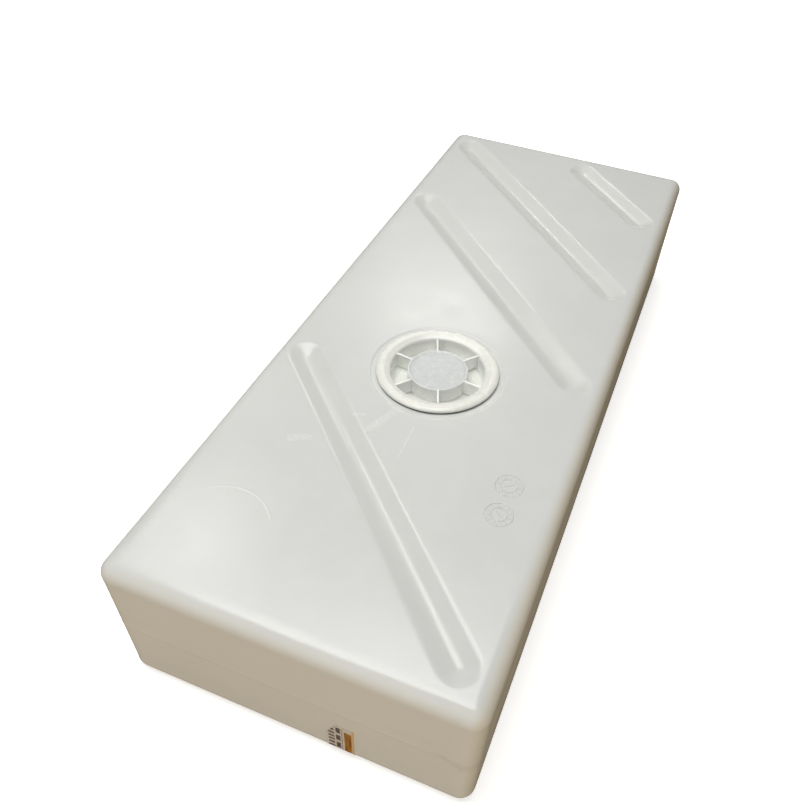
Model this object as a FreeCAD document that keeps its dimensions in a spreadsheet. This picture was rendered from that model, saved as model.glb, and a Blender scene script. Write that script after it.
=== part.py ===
import FreeCAD, Part
import os
import re

import Sketcher
from FreeCAD import Placement, Rotation, Vector

# Flat rigid polyethylene water vessel with a screw-in inspection lid.
# Millimetres, +Z up, +Y along the length, origin at the centre of the underside.

SIZES = [
    # tank
    ("tank_width", 400),
    ("tank_length", 1020),
    ("tank_height", 193),
    ("wall", 4),
    ("edge_round", 17),
    # diagonal stiffening grooves, the same on the top and on the underside
    ("groove_half", 21),
    ("groove_foot", 2.5),
    ("groove_depth", 8),
    ("groove_first", -307),
    ("groove_pitch", 202),
    ("groove_left", 40),
    ("groove_right", 43),
    ("groove_far", 49),
    ("spill", 1),
    # inspection hatch
    ("hatch_back", -110),
    ("seat_radius", 82),
    ("seat_depth", 1),
    ("mouth_radius", 69),
    ("collar_radius", 68.9),
    ("collar_bore", 63.4),
    ("collar_length", 24),
    ("collar_flange_radius", 80),
    ("collar_flange", 4),
    # screw thread of the hatch
    ("thread_pitch", 6),
    ("thread_turns", 2),
    ("thread_depth", 2),
    ("thread_root", 3),
    ("thread_crest", 1.6),
    ("thread_bite", 0.6),
    ("lid_thread_drop", 19.5),
    # lid
    ("lid_radius", 75.5),
    ("lid_rim", 57.5),
    ("skirt_radius", 60.6),
    ("flange_edge", 2.2),
    ("flange_crown", 3.8),
    ("lid_depth", 22),
    ("lid_floor", 2.5),
    ("hub_radius", 36.5),
    ("hub_skin", 2.2),
    ("hub_rise", 0.6),
    ("hub_dish", 0.8),
    ("web_thick", 2.5),
    ("web_turn", 51.5),
    ("web_count", 6),
    ("web_root", 0.5),
    ("web_drop", 0.1),
    ("hub_edge", 1.5),
    ("gasket_inner", 63.5),
    ("gasket_outer", 74.3),
    ("gasket_thick", 2),
    # paper label on the front end
    ("label_left", 42),
    ("label_width", 31),
    ("label_top", 69),
    ("label_thick", 0.3),
    ("label_wrap", 60),
    # moulded-in inserts and washers of the four connections
    ("boss_length", 12),
    ("boss_wall", 5),
    ("insert_wall", 3),
    ("insert_gap", 0.05),
    ("insert_waist", 1),
    ("insert_collar", 6),
    ("thread_gap", 0.1),
    ("washer_thick", 2),
    ("washer_land", 4),
    # inlet spigot
    ("inlet_across", -110),
    ("inlet_height", 128),
    ("inlet_thread", 22),
    ("inlet_bore", 16),
    ("inlet_tail", 19),
    ("inlet_flats", 50),
    ("inlet_reach", 50),
    # vent tail
    ("vent_across", -20),
    ("vent_height", 150),
    ("vent_thread", 8),
    ("vent_bore", 4),
    ("vent_tail", 6),
    ("vent_barb", 6.8),
    ("vent_flats", 22),
    ("vent_reach", 36),
    # outlet tail
    ("outlet_across", 60),
    ("outlet_height", 36),
    ("outlet_thread", 12),
    ("outlet_bore", 7.5),
    ("outlet_tail", 10),
    ("outlet_barb", 11),
    ("outlet_flats", 30),
    ("outlet_reach", 44),
    # drain cock
    ("drain_across", 135),
    ("drain_height", 32),
    ("drain_thread", 10),
    ("drain_bore", 5),
    ("drain_tail", 7),
    ("drain_barb", 7.8),
    ("drain_flats", 26),
    ("drain_reach", 30),
    ("drain_barrel", 13),
    ("barrel_bevel", 1),
    ("cap_flats", 24),
    ("drain_pocket", 10.2),
    ("drain_centre", 20),
    ("ball_radius", 8.5),
    ("seat_ring", 2.6),
    ("cap_socket", 38),
    ("cap_length", 8),
    ("stem_radius", 3.5),
    ("stem_play", 0.06),
    ("stem_thread", 2.5),
    ("stem_boss", 6.5),
    ("stem_top", 21),
    ("tongue_thick", 2.2),
    ("tongue_width", 5),
    ("tongue_depth", 2),
    ("tongue_play", 0.1),
    ("lever_length", 48),
    ("lever_width", 11),
    ("lever_thick", 3),
    ("lever_eye", 7),
    ("lever_nut_flats", 10),
    ("lever_nut_thick", 4),
    # shared by every hose connection
    ("flats_thick", 7),
    ("neck", 9),
    ("barb_count", 3),
    ("barb_back", 0.3),
    ("barb_land", 1),
    ("tip_taper", 0.6),
]

doc = FreeCAD.newDocument("water_vessel")
sizes = doc.addObject("Spreadsheet::Sheet", "sizes")
for row, (alias, value) in enumerate(SIZES, start=1):
    sizes.set("A%d" % row, alias)
    sizes.set("B%d" % row, str(value))
    sizes.setAlias("B%d" % row, alias)
doc.recompute()

REFERENCES = {alias: "sizes." + alias for alias, value in SIZES}
UP = Vector(0, 0, 1)
ALONG_X = Vector(1, 0, 0)


def bound(formula):
    """Turn the bare size names of a formula into references to the sheet."""
    return re.sub("[a-z_]+", lambda found: REFERENCES.get(found.group(), found.group()), formula)


def value_of(formula):
    """Number that a formula gives with the sheet's present values."""
    return float(sizes.evalExpression(bound(formula)))


def make(kind, name, formulas):
    """Document object whose properties follow the sheet."""
    item = doc.addObject(kind, name)
    for prop, formula in formulas.items():
        item.setExpression(prop, bound(formula))
    return item


def place(item, across="0", along="0", up="0", turn=Rotation()):
    """Turn an object and bind its position to the sheet."""
    item.Placement = Placement(Vector(), turn)
    item.setExpression("Placement.Base.x", bound(across))
    item.setExpression("Placement.Base.y", bound(along))
    item.setExpression("Placement.Base.z", bound(up))
    return item


def cylinder(name, radius, height, **where):
    return place(make("Part::Cylinder", name, {"Radius": radius, "Height": height}), **where)


def cut(name, base, tool):
    item = doc.addObject("Part::Cut", name)
    item.Base = base
    item.Tool = tool
    return item


def fuse(name, pieces):
    item = doc.addObject("Part::MultiFuse", name)
    item.Shapes = pieces
    return item


def plane_of(body, role):
    """Origin plane or axis of a body."""
    return [part for part in body.Origin.OriginFeatures if part.Role == role][0]


def sketch_polygon(body, name, role, corners, offset="0"):
    """Closed outline whose corners are bound to the sheet, as pairs of formulas."""
    sketch = body.newObject("Sketcher::SketchObject", name)
    sketch.AttachmentSupport = [(plane_of(body, role), "")]
    sketch.MapMode = "FlatFace"
    sketch.setExpression("AttachmentOffset.Base.z", bound(offset))
    spots = [Vector(value_of(x), value_of(y), 0) for x, y in corners]
    count = len(spots)
    for index in range(count):
        sketch.addGeometry(Part.LineSegment(spots[index], spots[(index + 1) % count]), False)
    for index in range(count):
        sketch.addConstraint(Sketcher.Constraint("Coincident", index, 2, (index + 1) % count, 1))
    for index, (x, y) in enumerate(corners):
        bind_distance(sketch, "DistanceX", index, x, spots[index].x)
        bind_distance(sketch, "DistanceY", index, y, spots[index].y)
    return sketch


def bind_distance(sketch, kind, index, formula, distance):
    """Hold a line's start at a distance from the origin along one axis."""
    if formula == "0":
        axis = -2 if kind == "DistanceX" else -1
        sketch.addConstraint(Sketcher.Constraint("PointOnObject", index, 1, axis))
        return
    number = sketch.addConstraint(Sketcher.Constraint(kind, -1, 1, index, 1, distance))
    sketch.setExpression("Constraints[%d]" % number, bound(formula))


def turned(name, corners):
    """Body of revolution about its own Z axis from an outline of radius and height."""
    body = doc.addObject("PartDesign::Body", name)
    sketch = sketch_polygon(body, name + "_section", "XZ_Plane", corners)
    turn = body.newObject("PartDesign::Revolution", name + "_turn")
    turn.Profile = sketch
    turn.ReferenceAxis = (sketch, ["V_Axis"])
    turn.Angle = 360
    return body


def rounded_block(name, inset):
    """Block with every edge rounded, a wall's thickness inside the outer skin when inset is the wall."""
    body = doc.addObject("PartDesign::Body", name)
    half_width = "(tank_width / 2 - %s)" % inset
    half_length = "(tank_length / 2 - %s)" % inset
    corners = [
        ("-" + half_width, "-" + half_length),
        (half_width, "-" + half_length),
        (half_width, half_length),
        ("-" + half_width, half_length),
    ]
    sketch = sketch_polygon(body, name + "_plan", "XY_Plane", corners, offset=inset)
    pad = body.newObject("PartDesign::Pad", name + "_pad")
    pad.Profile = sketch
    pad.setExpression("Length", bound("tank_height - 2 * %s" % inset))
    doc.recompute()
    fillet = body.newObject("PartDesign::Fillet", name + "_round")
    fillet.Base = (pad, [""])
    fillet.UseAllEdges = True
    fillet.setExpression("Radius", bound("edge_round - %s" % inset))
    body.Tip = fillet
    return body


# Slope of a groove's sides, as width over depth, and how far a corner of the groove moves
# sideways when its surface is moved inwards by the wall's thickness.
SLOPE = "((groove_half - groove_foot) / groove_depth)"
CORNER_SHIFT = "(wall * (sqrt(1 + %s ^ 2) - %s))" % (SLOPE, SLOPE)
GROOVES = [0, 2, 3, 4]


def trough(name, step, sink, grow):
    """Groove along the diagonal: a trapezoid between its two ends and half a cone round each."""
    crossing = "(groove_first + %d * groove_pitch)" % step
    left = "max(groove_left - tank_width / 2; %s - tank_length / 2 + groove_far)" % crossing
    right = "(tank_width / 2 - groove_right)"
    foot = "groove_foot + " + grow
    rim = "groove_half + spill * %s + %s" % (SLOPE, grow)
    depth = "groove_depth + spill"
    up = "tank_height - groove_depth - " + sink
    reach = "(%s - %s) / sqrt(2)" % (right, left)
    middle = "(%s + %s) / 2" % (right, left)
    spar = make("Part::Wedge", name + "_spar", {
        "Ymin": "0", "Ymax": depth,
        "Xmin": "-(%s)" % foot, "Xmax": foot, "X2min": "-(%s)" % rim, "X2max": rim,
        "Zmin": "-" + reach, "Zmax": reach, "Z2min": "-" + reach, "Z2max": reach,
    })
    place(spar, across=middle, along="%s - %s" % (crossing, middle), up=up,
          turn=Rotation(UP, 45) * Rotation(ALONG_X, 90))
    pieces = [spar]
    for key, end in (("left", left), ("right", right)):
        cone = make("Part::Cone", "%s_%s" % (name, key), {"Radius1": foot, "Radius2": rim, "Height": depth})
        pieces.append(place(cone, across=end, along="%s - %s" % (crossing, end), up=up))
    return pieces


def groove_cutters(name, sink, grow):
    """All grooves of one face, sunk and widened for the inner skin or as they are for the outer."""
    pieces = []
    for step in GROOVES:
        pieces += trough("%s_%d" % (name, step), step, sink, grow)
    return fuse(name, pieces)


def both_faces(name, grooves):
    """The top's grooves and their mirror image on the underside."""
    under = doc.addObject("Part::Mirroring", name + "_under")
    under.Source = grooves
    under.Normal = UP
    under.setExpression("Base.z", bound("tank_height / 2"))
    return fuse(name, [grooves, under])


CONNECTIONS = ["inlet", "vent", "outlet", "drain"]
OUTWARDS = Rotation(ALONG_X, -90)


def tank_shell():
    """Hollow tank with an even wall, its bosses, the hatch mouth and the four connection holes."""
    outside = cut("tank_outside", rounded_block("tank_blank", "0"),
                  both_faces("outer_grooves", groove_cutters("outer_top", "0", "0")))
    inside = cut("tank_inside", rounded_block("cavity_blank", "wall"),
                 both_faces("inner_grooves", groove_cutters("inner_top", "wall", CORNER_SHIFT)))
    hollow = cut("tank_hollow", outside, inside)
    bosses = []
    holes = [
        cylinder("mouth_hole", "mouth_radius", "wall * 3", along="hatch_back", up="tank_height - wall * 2"),
        cylinder("seat_hole", "seat_radius", "wall", along="hatch_back", up="tank_height - seat_depth"),
    ]
    for key in CONNECTIONS:
        where = {"across": key + "_across", "up": key + "_height", "turn": OUTWARDS}
        insert_radius = "%s_thread + insert_wall" % key
        bosses.append(cylinder(key + "_boss", insert_radius + " + boss_wall", "boss_length + wall / 2",
                               along="tank_length / 2 - wall - boss_length", **where))
        holes.append(cylinder(key + "_hole", insert_radius + " + insert_gap", "boss_length + wall * 2",
                              along="tank_length / 2 - wall * 1.5 - boss_length", **where))
    solid = fuse("tank_with_bosses", [hollow] + bosses)
    return cut("tank_shell", solid, fuse("tank_holes", holes))


def thread_ridge(body, name, wall_radius, direction, start):
    """Screw ridge on a turned body's wall: direction 1 points outwards and -1 inwards."""
    crest = "%s + %d * thread_depth" % (wall_radius, direction)
    root = "%s - %d * thread_bite" % (wall_radius, direction)
    corners = [
        (root, start + " - thread_root / 2"),
        (crest, start + " - thread_crest / 2"),
        (crest, start + " + thread_crest / 2"),
        (root, start + " + thread_root / 2"),
    ]
    sketch = sketch_polygon(body, name + "_section", "XZ_Plane", corners)
    ridge = body.newObject("PartDesign::AdditiveHelix", name)
    ridge.Profile = sketch
    ridge.ReferenceAxis = (sketch, ["V_Axis"])
    ridge.Mode = 0
    ridge.setExpression("Pitch", bound("thread_pitch"))
    ridge.setExpression("Height", bound("thread_pitch * thread_turns"))
    ridge.Angle = 0
    ridge.LeftHanded = False
    ridge.Reversed = False
    doc.recompute()
    body.Tip = ridge


SEAT = "(tank_height - seat_depth)"


def hatch_collar():
    """Threaded ring moulded into the tank's mouth, its flange under the wall."""
    flange_top = "seat_depth - wall"
    flange_foot = "seat_depth - wall - collar_flange"
    body = turned("hatch_collar", [
        ("collar_bore", "-collar_length"),
        ("collar_radius", "-collar_length"),
        ("collar_radius", flange_foot),
        ("collar_flange_radius", flange_foot),
        ("collar_flange_radius", flange_top),
        ("collar_radius", flange_top),
        ("collar_radius", "0"),
        ("collar_bore", "0"),
    ])
    doc.recompute()
    thread_ridge(body, "collar_thread", "collar_bore", -1,
                 "gasket_thick - lid_thread_drop + thread_pitch / 2")
    return place(body, along="hatch_back", up=SEAT, turn=Rotation(UP, value_of("web_turn")))


def hatch_gasket():
    body = turned("hatch_gasket", [
        ("gasket_inner", "0"),
        ("gasket_outer", "0"),
        ("gasket_outer", "gasket_thick"),
        ("gasket_inner", "gasket_thick"),
    ])
    return place(body, along="hatch_back", up=SEAT)


def hatch_lid():
    """Crowned flange, threaded cup, raised hub and the webs that make the finger pockets."""
    floor_top = "lid_floor - lid_depth"
    crown_inner = "lid_rim + (lid_radius - lid_rim) / 4"
    crown_outer = "lid_radius - (lid_radius - lid_rim) / 4"
    body = turned("hatch_lid", [
        ("0", "hub_rise - hub_dish - hub_skin"),
        ("hub_radius - hub_skin", "hub_rise - hub_skin"),
        ("hub_radius - hub_skin", "-lid_depth"),
        ("skirt_radius", "-lid_depth"),
        ("skirt_radius", "0"),
        ("lid_radius", "0"),
        ("lid_radius", "flange_edge"),
        (crown_outer, "flange_crown"),
        (crown_inner, "flange_crown"),
        ("lid_rim", "flange_edge"),
        ("lid_rim", floor_top),
        ("hub_radius", floor_top),
        ("hub_radius", "hub_rise"),
        ("hub_radius - hub_edge", "hub_rise"),
        ("0", "hub_rise - hub_dish"),
    ])
    web_plan = sketch_polygon(body, "web_plan", "XY_Plane", [
        ("hub_radius - web_root", "-web_thick / 2"),
        ("lid_rim + web_root", "-web_thick / 2"),
        ("lid_rim + web_root", "web_thick / 2"),
        ("hub_radius - web_root", "web_thick / 2"),
    ], offset=floor_top + " - web_root")
    web = body.newObject("PartDesign::Pad", "web")
    web.Profile = web_plan
    web.setExpression("Length", bound("hub_rise - web_drop + web_root + lid_depth - lid_floor"))
    doc.recompute()
    webs = body.newObject("PartDesign::PolarPattern", "webs")
    webs.Originals = [web]
    webs.Axis = (plane_of(body, "Z_Axis"), [""])
    webs.Angle = 360
    webs.setExpression("Occurrences", bound("web_count"))
    body.Tip = webs
    doc.recompute()
    thread_ridge(body, "lid_thread", "skirt_radius", 1, "-lid_thread_drop")
    return place(body, along="hatch_back", up=SEAT + " + gasket_thick",
                 turn=Rotation(UP, value_of("web_turn")))


def label():
    """Paper label on the front end, wrapped a little way round the bottom edge."""
    item = doc.addObject("Part::Feature", "label")
    radius = value_of("edge_round")
    face = -value_of("tank_length") / 2
    thick = value_of("label_thick")
    top = value_of("label_top")
    left = value_of("label_left")
    centre = Vector(left, face + radius, radius)
    wrap = value_of("label_wrap")

    def on_edge(distance, degrees):
        out = Rotation(ALONG_X, degrees).multVec(Vector(0, -distance, 0))
        return centre + out

    inner = [on_edge(radius, angle) for angle in (0, wrap / 2, wrap)]
    outer = [on_edge(radius + thick, angle) for angle in (0, wrap / 2, wrap)]
    head_inner = Vector(left, face, top)
    head_outer = Vector(left, face - thick, top)
    outline = Part.Wire([
        Part.LineSegment(head_inner, inner[0]).toShape(),
        Part.Arc(*inner).toShape(),
        Part.LineSegment(inner[2], outer[2]).toShape(),
        Part.Arc(*reversed(outer)).toShape(),
        Part.LineSegment(outer[0], head_outer).toShape(),
        Part.LineSegment(head_outer, head_inner).toShape(),
    ])
    item.Shape = Part.Face(outline).extrude(Vector(value_of("label_width"), 0, 0))
    return item


def at_far_end(item, key, out="0"):
    """Stand an object on the far end's face at one of the connections, pointing outwards."""
    return place(item, across=key + "_across", along="tank_length / 2 + " + out, up=key + "_height",
                 turn=OUTWARDS)


def insert(key):
    """Brass thread insert with a waist that locks it in its boss."""
    radius = "%s_thread + insert_wall" % key
    bore = key + "_thread"
    full = "(boss_length + wall)"
    return at_far_end(turned(key + "_insert", [
        (bore, "-" + full),
        (radius, "-" + full),
        (radius, "insert_collar - " + full),
        (radius + " - insert_waist", "insert_collar + insert_waist - " + full),
        (radius + " - insert_waist", "-insert_collar - insert_waist"),
        (radius, "-insert_collar"),
        (radius, "0"),
        (bore, "0"),
    ]), key)


def washer(key):
    inner = key + "_thread + thread_gap"
    outer = "%s_thread + washer_land" % key
    return at_far_end(turned(key + "_washer", [
        (inner, "0"),
        (outer, "0"),
        (outer, "washer_thick"),
        (inner, "washer_thick"),
    ]), key)


def plain_spigot(key, start):
    """Outline of a smooth spigot with a bevelled tip."""
    reach = "%s + %s_reach" % (start, key)
    return [
        (key + "_tail", start),
        (key + "_tail", reach + " - tip_taper"),
        (key + "_tail - tip_taper", reach),
        (key + "_bore", reach),
    ]


def barbs(key, start):
    """Outline of a hose tail from its neck to its tip, tapering towards the tip at every barb."""
    pitch = "((%s_reach - neck) / barb_count)" % key
    reach = "%s + %s_reach" % (start, key)
    points = [(key + "_tail", start)]
    for index in range(int(value_of("barb_count"))):
        root = "%s + neck + %d * %s" % (start, index, pitch)
        points.append((key + "_tail", root))
        points.append((key + "_barb", root + " + barb_back"))
        points.append((key + "_barb", root + " + barb_back + barb_land"))
    points.append((key + "_tail - tip_taper", reach))
    points.append((key + "_bore", reach))
    return points


def hexagon(name, flats, height, **where):
    return place(make("Part::Prism", name, {
        "Circumradius": "(%s) / sqrt(3)" % flats,
        "Height": height,
    }), **where)


def hose_tail(key, node, tail):
    """Threaded end, spanner flats and a tail for the hose, with a bore right through."""
    thread = key + "_thread - thread_gap"
    spigot = turned(node + "_spigot", [
        (key + "_bore", "-boss_length - wall - washer_thick"),
        (thread, "-boss_length - wall - washer_thick"),
        (thread, "0"),
        (key + "_tail", "0"),
    ] + tail(key, "flats_thick"))
    flats = cut(node + "_flats",
                hexagon(node + "_hexagon", key + "_flats", "flats_thick"),
                cylinder(node + "_flats_bore", key + "_bore", "flats_thick"))
    return at_far_end(fuse(node, [spigot, flats]), key, "washer_thick")


# The drain cock is drawn along its own Z axis, with its stem along its own -Y, which is up.
STEM = Rotation(ALONG_X, 90)
ACROSS_FLOW = Rotation(Vector(0, 1, 0), 90)


def drain_body():
    """Threaded end, spanner flats and a barrel with the pocket for the ball and its seats."""
    thread = "drain_thread - thread_gap"
    barrel = turned("drain_barrel_turned", [
        ("drain_bore", "-boss_length - wall - washer_thick"),
        (thread, "-boss_length - wall - washer_thick"),
        (thread, "0"),
        ("drain_barrel - barrel_bevel", "0"),
        ("drain_barrel", "barrel_bevel"),
        ("drain_barrel", "cap_socket - barrel_bevel"),
        ("drain_barrel - barrel_bevel", "cap_socket"),
        ("drain_pocket", "cap_socket"),
        ("drain_pocket", "drain_centre - ball_radius - seat_ring / 2"),
        ("drain_bore", "drain_centre - ball_radius - seat_ring / 2"),
    ])
    flats = cut("drain_flats_ring",
                hexagon("drain_hexagon", "drain_flats", "flats_thick"),
                cylinder("drain_flats_bore", "drain_barrel - barrel_bevel", "flats_thick"))
    boss = cylinder("stem_boss_post", "stem_boss", "stem_top - lever_thick - lever_thick / 2",
                    up="drain_centre", turn=STEM)
    stem_way = cylinder("stem_way", "stem_radius + stem_play", "stem_top", up="drain_centre", turn=STEM)
    pocket = cylinder("pocket_way", "drain_pocket", "cap_socket - drain_centre + ball_radius + seat_ring / 2",
                      up="drain_centre - ball_radius - seat_ring / 2")
    solid = fuse("drain_body_solid", [barrel, flats, boss])
    return at_far_end(cut("drain_body", solid, fuse("drain_body_ways", [stem_way, pocket])),
                      "drain", "washer_thick")


def drain_seats():
    """Two seat rings, one each side of the ball, hollowed to its curve."""
    rings = []
    for name, side in (("inner", -1), ("outer", 1)):
        low = "drain_centre + %d * ball_radius - seat_ring / 2" % side
        rings.append(cylinder("seat_ring_%s" % name, "drain_pocket - thread_gap", "seat_ring", up=low))
    ball = make("Part::Sphere", "seat_ball", {"Radius": "ball_radius + stem_play"})
    place(ball, up="drain_centre")
    way = cylinder("seat_way", "drain_bore", "drain_centre * 2")
    return at_far_end(cut("drain_seats", fuse("seat_rings", rings), fuse("seat_cut", [ball, way])),
                      "drain", "washer_thick")


def drain_ball():
    """Ball with its way across the flow when shut, and a slot for the stem's tongue."""
    ball = place(make("Part::Sphere", "ball_solid", {"Radius": "ball_radius"}), turn=ACROSS_FLOW)
    way = cylinder("ball_way", "drain_bore", "4 * ball_radius", across="-2 * ball_radius",
                   turn=ACROSS_FLOW)
    slot = place(make("Part::Box", "ball_slot", {
        "Length": "tongue_thick + 2 * tongue_play",
        "Width": "tongue_depth + tongue_play + spill",
        "Height": "3 * ball_radius",
    }), across="-tongue_thick / 2 - tongue_play", along="-ball_radius - spill", up="-1.5 * ball_radius")
    item = cut("drain_ball", ball, fuse("ball_cut", [way, slot]))
    return place(item, across="drain_across", along="tank_length / 2 + washer_thick + drain_centre",
                 up="drain_height", turn=OUTWARDS)


def above_stem(item, height):
    """Stand an object on the stem's axis, upright."""
    return place(item, across="drain_across", along="tank_length / 2 + washer_thick + drain_centre",
                 up="drain_height + " + height)


def drain_stem():
    """Stem from the ball's slot up through the lever to its nut."""
    post = cylinder("stem_post", "stem_radius", "stem_top - ball_radius - tongue_play",
                    up="ball_radius + tongue_play")
    end = cylinder("stem_end", "stem_thread", "lever_nut_thick + spill", up="stem_top")
    tongue = place(make("Part::Box", "stem_tongue", {
        "Length": "tongue_thick",
        "Width": "tongue_width",
        "Height": "tongue_depth + 2 * tongue_play",
    }), across="-tongue_thick / 2", along="-tongue_width / 2", up="ball_radius - tongue_depth")
    return above_stem(fuse("drain_stem", [post, end, tongue]), "0")


def drain_lever():
    """Flat lever across the flow when the cock is shut, with a rounded end."""
    blade = place(make("Part::Box", "lever_blade", {
        "Length": "lever_length",
        "Width": "lever_width",
        "Height": "lever_thick",
    }), across="-lever_length", along="-lever_width / 2")
    eye = cylinder("lever_eye_plate", "lever_eye", "lever_thick")
    tip = cylinder("lever_tip", "lever_width / 2", "lever_thick", across="-lever_length")
    hole = cylinder("lever_hole", "stem_radius + stem_play", "lever_thick")
    item = cut("drain_lever", fuse("lever_solid", [blade, eye, tip]), hole)
    return above_stem(item, "stem_top - lever_thick")


def lever_nut():
    nut = cut("lever_nut",
              hexagon("nut_hexagon", "lever_nut_flats", "lever_nut_thick"),
              cylinder("nut_hole", "stem_thread + stem_play", "lever_nut_thick"))
    return above_stem(nut, "stem_top")


def drain_tail():
    """Cap screwed into the cock's barrel, with spanner flats and a barbed tail."""
    spigot = turned("cap_spigot", [
        ("drain_bore", "-cap_length"),
        ("drain_pocket - thread_gap", "-cap_length"),
        ("drain_pocket - thread_gap", "0"),
        ("drain_tail", "0"),
    ] + barbs("drain", "flats_thick / 2"))
    flats = cut("cap_flats_ring",
                hexagon("cap_hexagon", "cap_flats", "flats_thick / 2"),
                cylinder("cap_flats_bore", "drain_bore", "flats_thick / 2"))
    return at_far_end(fuse("drain_tail", [spigot, flats]), "drain", "washer_thick + cap_socket")


parts = [tank_shell(), hatch_collar(), hatch_gasket(), hatch_lid(), label()]
for name in CONNECTIONS:
    parts.append(insert(name))
    parts.append(washer(name))
parts.append(hose_tail("inlet", "inlet_spigot", plain_spigot))
parts.append(hose_tail("vent", "vent_tail", barbs))
parts.append(hose_tail("outlet", "outlet_tail", barbs))
parts += [drain_body(), drain_seats(), drain_ball(), drain_stem(), drain_lever(), lever_nut(), drain_tail()]
doc.recompute()

for item in doc.Objects:
    if "Invalid" in item.State or "Error" in item.State:
        raise RuntimeError("%s did not recompute: %s" % (item.Name, item.State))

os.makedirs("parts", exist_ok=True)
for item in parts:
    item.Label = item.Name
    if item.Shape.isNull() or not item.Shape.isValid():
        raise RuntimeError("%s has no valid shape" % item.Label)
    item.Shape.exportStep("parts/%s.step" % item.Label)
    print("%-14s %10.0f mm3  %d solid(s)" % (item.Label, item.Shape.Volume, len(item.Shape.Solids)))
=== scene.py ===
import math

import bmesh
import bpy
from bpy.props import FloatProperty, FloatVectorProperty, IntProperty, PointerProperty
from mathutils import Matrix, Vector
from mathutils.geometry import delaunay_2d_cdt


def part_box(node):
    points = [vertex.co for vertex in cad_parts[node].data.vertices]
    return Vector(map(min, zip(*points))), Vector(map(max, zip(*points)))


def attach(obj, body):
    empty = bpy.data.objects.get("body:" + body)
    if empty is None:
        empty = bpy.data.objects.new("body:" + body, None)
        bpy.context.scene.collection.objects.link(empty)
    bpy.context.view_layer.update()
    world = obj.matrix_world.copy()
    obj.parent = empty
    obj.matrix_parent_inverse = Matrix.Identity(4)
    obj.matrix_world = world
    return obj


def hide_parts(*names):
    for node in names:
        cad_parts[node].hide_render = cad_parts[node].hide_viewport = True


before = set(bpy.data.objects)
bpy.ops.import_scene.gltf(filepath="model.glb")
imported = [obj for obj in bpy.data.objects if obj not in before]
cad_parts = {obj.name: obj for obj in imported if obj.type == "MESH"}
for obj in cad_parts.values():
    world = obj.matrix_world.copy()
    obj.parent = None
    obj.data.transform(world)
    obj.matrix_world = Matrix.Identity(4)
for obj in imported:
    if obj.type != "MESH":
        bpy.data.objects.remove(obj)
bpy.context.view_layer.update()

bl_info = {
    "name": "Flat Water Vessel",
    "version": (1, 0, 0),
    "blender": (4, 5, 0),
    "location": "View3D > Sidebar > Vessel",
    "description": "Builds a flat polyethylene water vessel around its packed frame",
    "category": "Add Mesh",
}

TANK_LOW, TANK_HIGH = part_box("tank_shell")
LID_LOW, LID_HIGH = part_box("hatch_lid")
COLLAR_LOW, COLLAR_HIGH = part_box("hatch_collar")
GASKET_LOW, GASKET_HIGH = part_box("hatch_gasket")
LABEL_LOW, LABEL_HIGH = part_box("label")
HATCH = (LID_LOW + LID_HIGH) / 2
MOUTH_RADIUS = 0.069
INWARDS = Matrix.Rotation(math.radians(-90), 4, "X")
CONNECTIONS = ["inlet", "vent", "outlet", "drain"]
GROOVE_PLACES = (0, 2, 3, 4)
GROOVE_REACH = 0.027
PANEL_MARGIN = 0.0015


# ---------------------------------------------------------------- settings

class VesselShape(bpy.types.PropertyGroup):
    """Sizes of the moulded tank and of its grooves."""

    wall: FloatProperty(name="Wall", description="Thickness of the tank's wall", default=0.004,
                        unit="LENGTH")
    edge_round: FloatProperty(name="Edge round", description="Radius of the tank's outer edges",
                              default=0.017, unit="LENGTH")
    panel_inset: FloatProperty(name="Panel inset", default=0.0003, unit="LENGTH",
                               description="How far the side panels lie behind the parting bead")
    panel_wave: FloatProperty(name="Panel wave", default=0.0006, unit="LENGTH",
                              description="How uneven the cooled panels are")
    groove_half: FloatProperty(name="Groove half width", description="From the groove's middle to its rim",
                               default=0.021, unit="LENGTH")
    groove_foot: FloatProperty(name="Groove foot", description="Half the width of the groove's flat foot",
                               default=0.0025, unit="LENGTH")
    groove_depth: FloatProperty(name="Groove depth", description="Depth of the stiffening grooves",
                                default=0.008, unit="LENGTH")
    groove_rim: FloatProperty(name="Groove rim softness", description="Rounding of the groove's rims",
                              default=0.0014, unit="LENGTH")
    groove_soft: FloatProperty(name="Groove foot softness", description="Rounding of the groove's foot",
                               default=0.0028, unit="LENGTH")
    groove_first: FloatProperty(name="First groove", default=-0.307, unit="LENGTH",
                                description="Where the first groove crosses the tank's middle line")
    groove_pitch: FloatProperty(name="Groove pitch", description="Distance between grooves along the tank",
                                default=0.202, unit="LENGTH")
    groove_left: FloatProperty(name="Groove left end", default=0.040, unit="LENGTH",
                               description="From the tank's left side to the centre of a groove's end")
    groove_right: FloatProperty(name="Groove right end", default=0.043, unit="LENGTH",
                                description="From the tank's right side to the centre of a groove's end")
    groove_far: FloatProperty(name="Groove far end", default=0.049, unit="LENGTH",
                              description="From the tank's far end to the centre of a groove's end")
    seat_radius: FloatProperty(name="Hatch seat", description="Radius of the shallow seat round the hatch",
                               default=0.082, unit="LENGTH")
    seat_depth: FloatProperty(name="Seat depth", description="Depth of the seat round the hatch",
                              default=0.001, unit="LENGTH")


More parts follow.
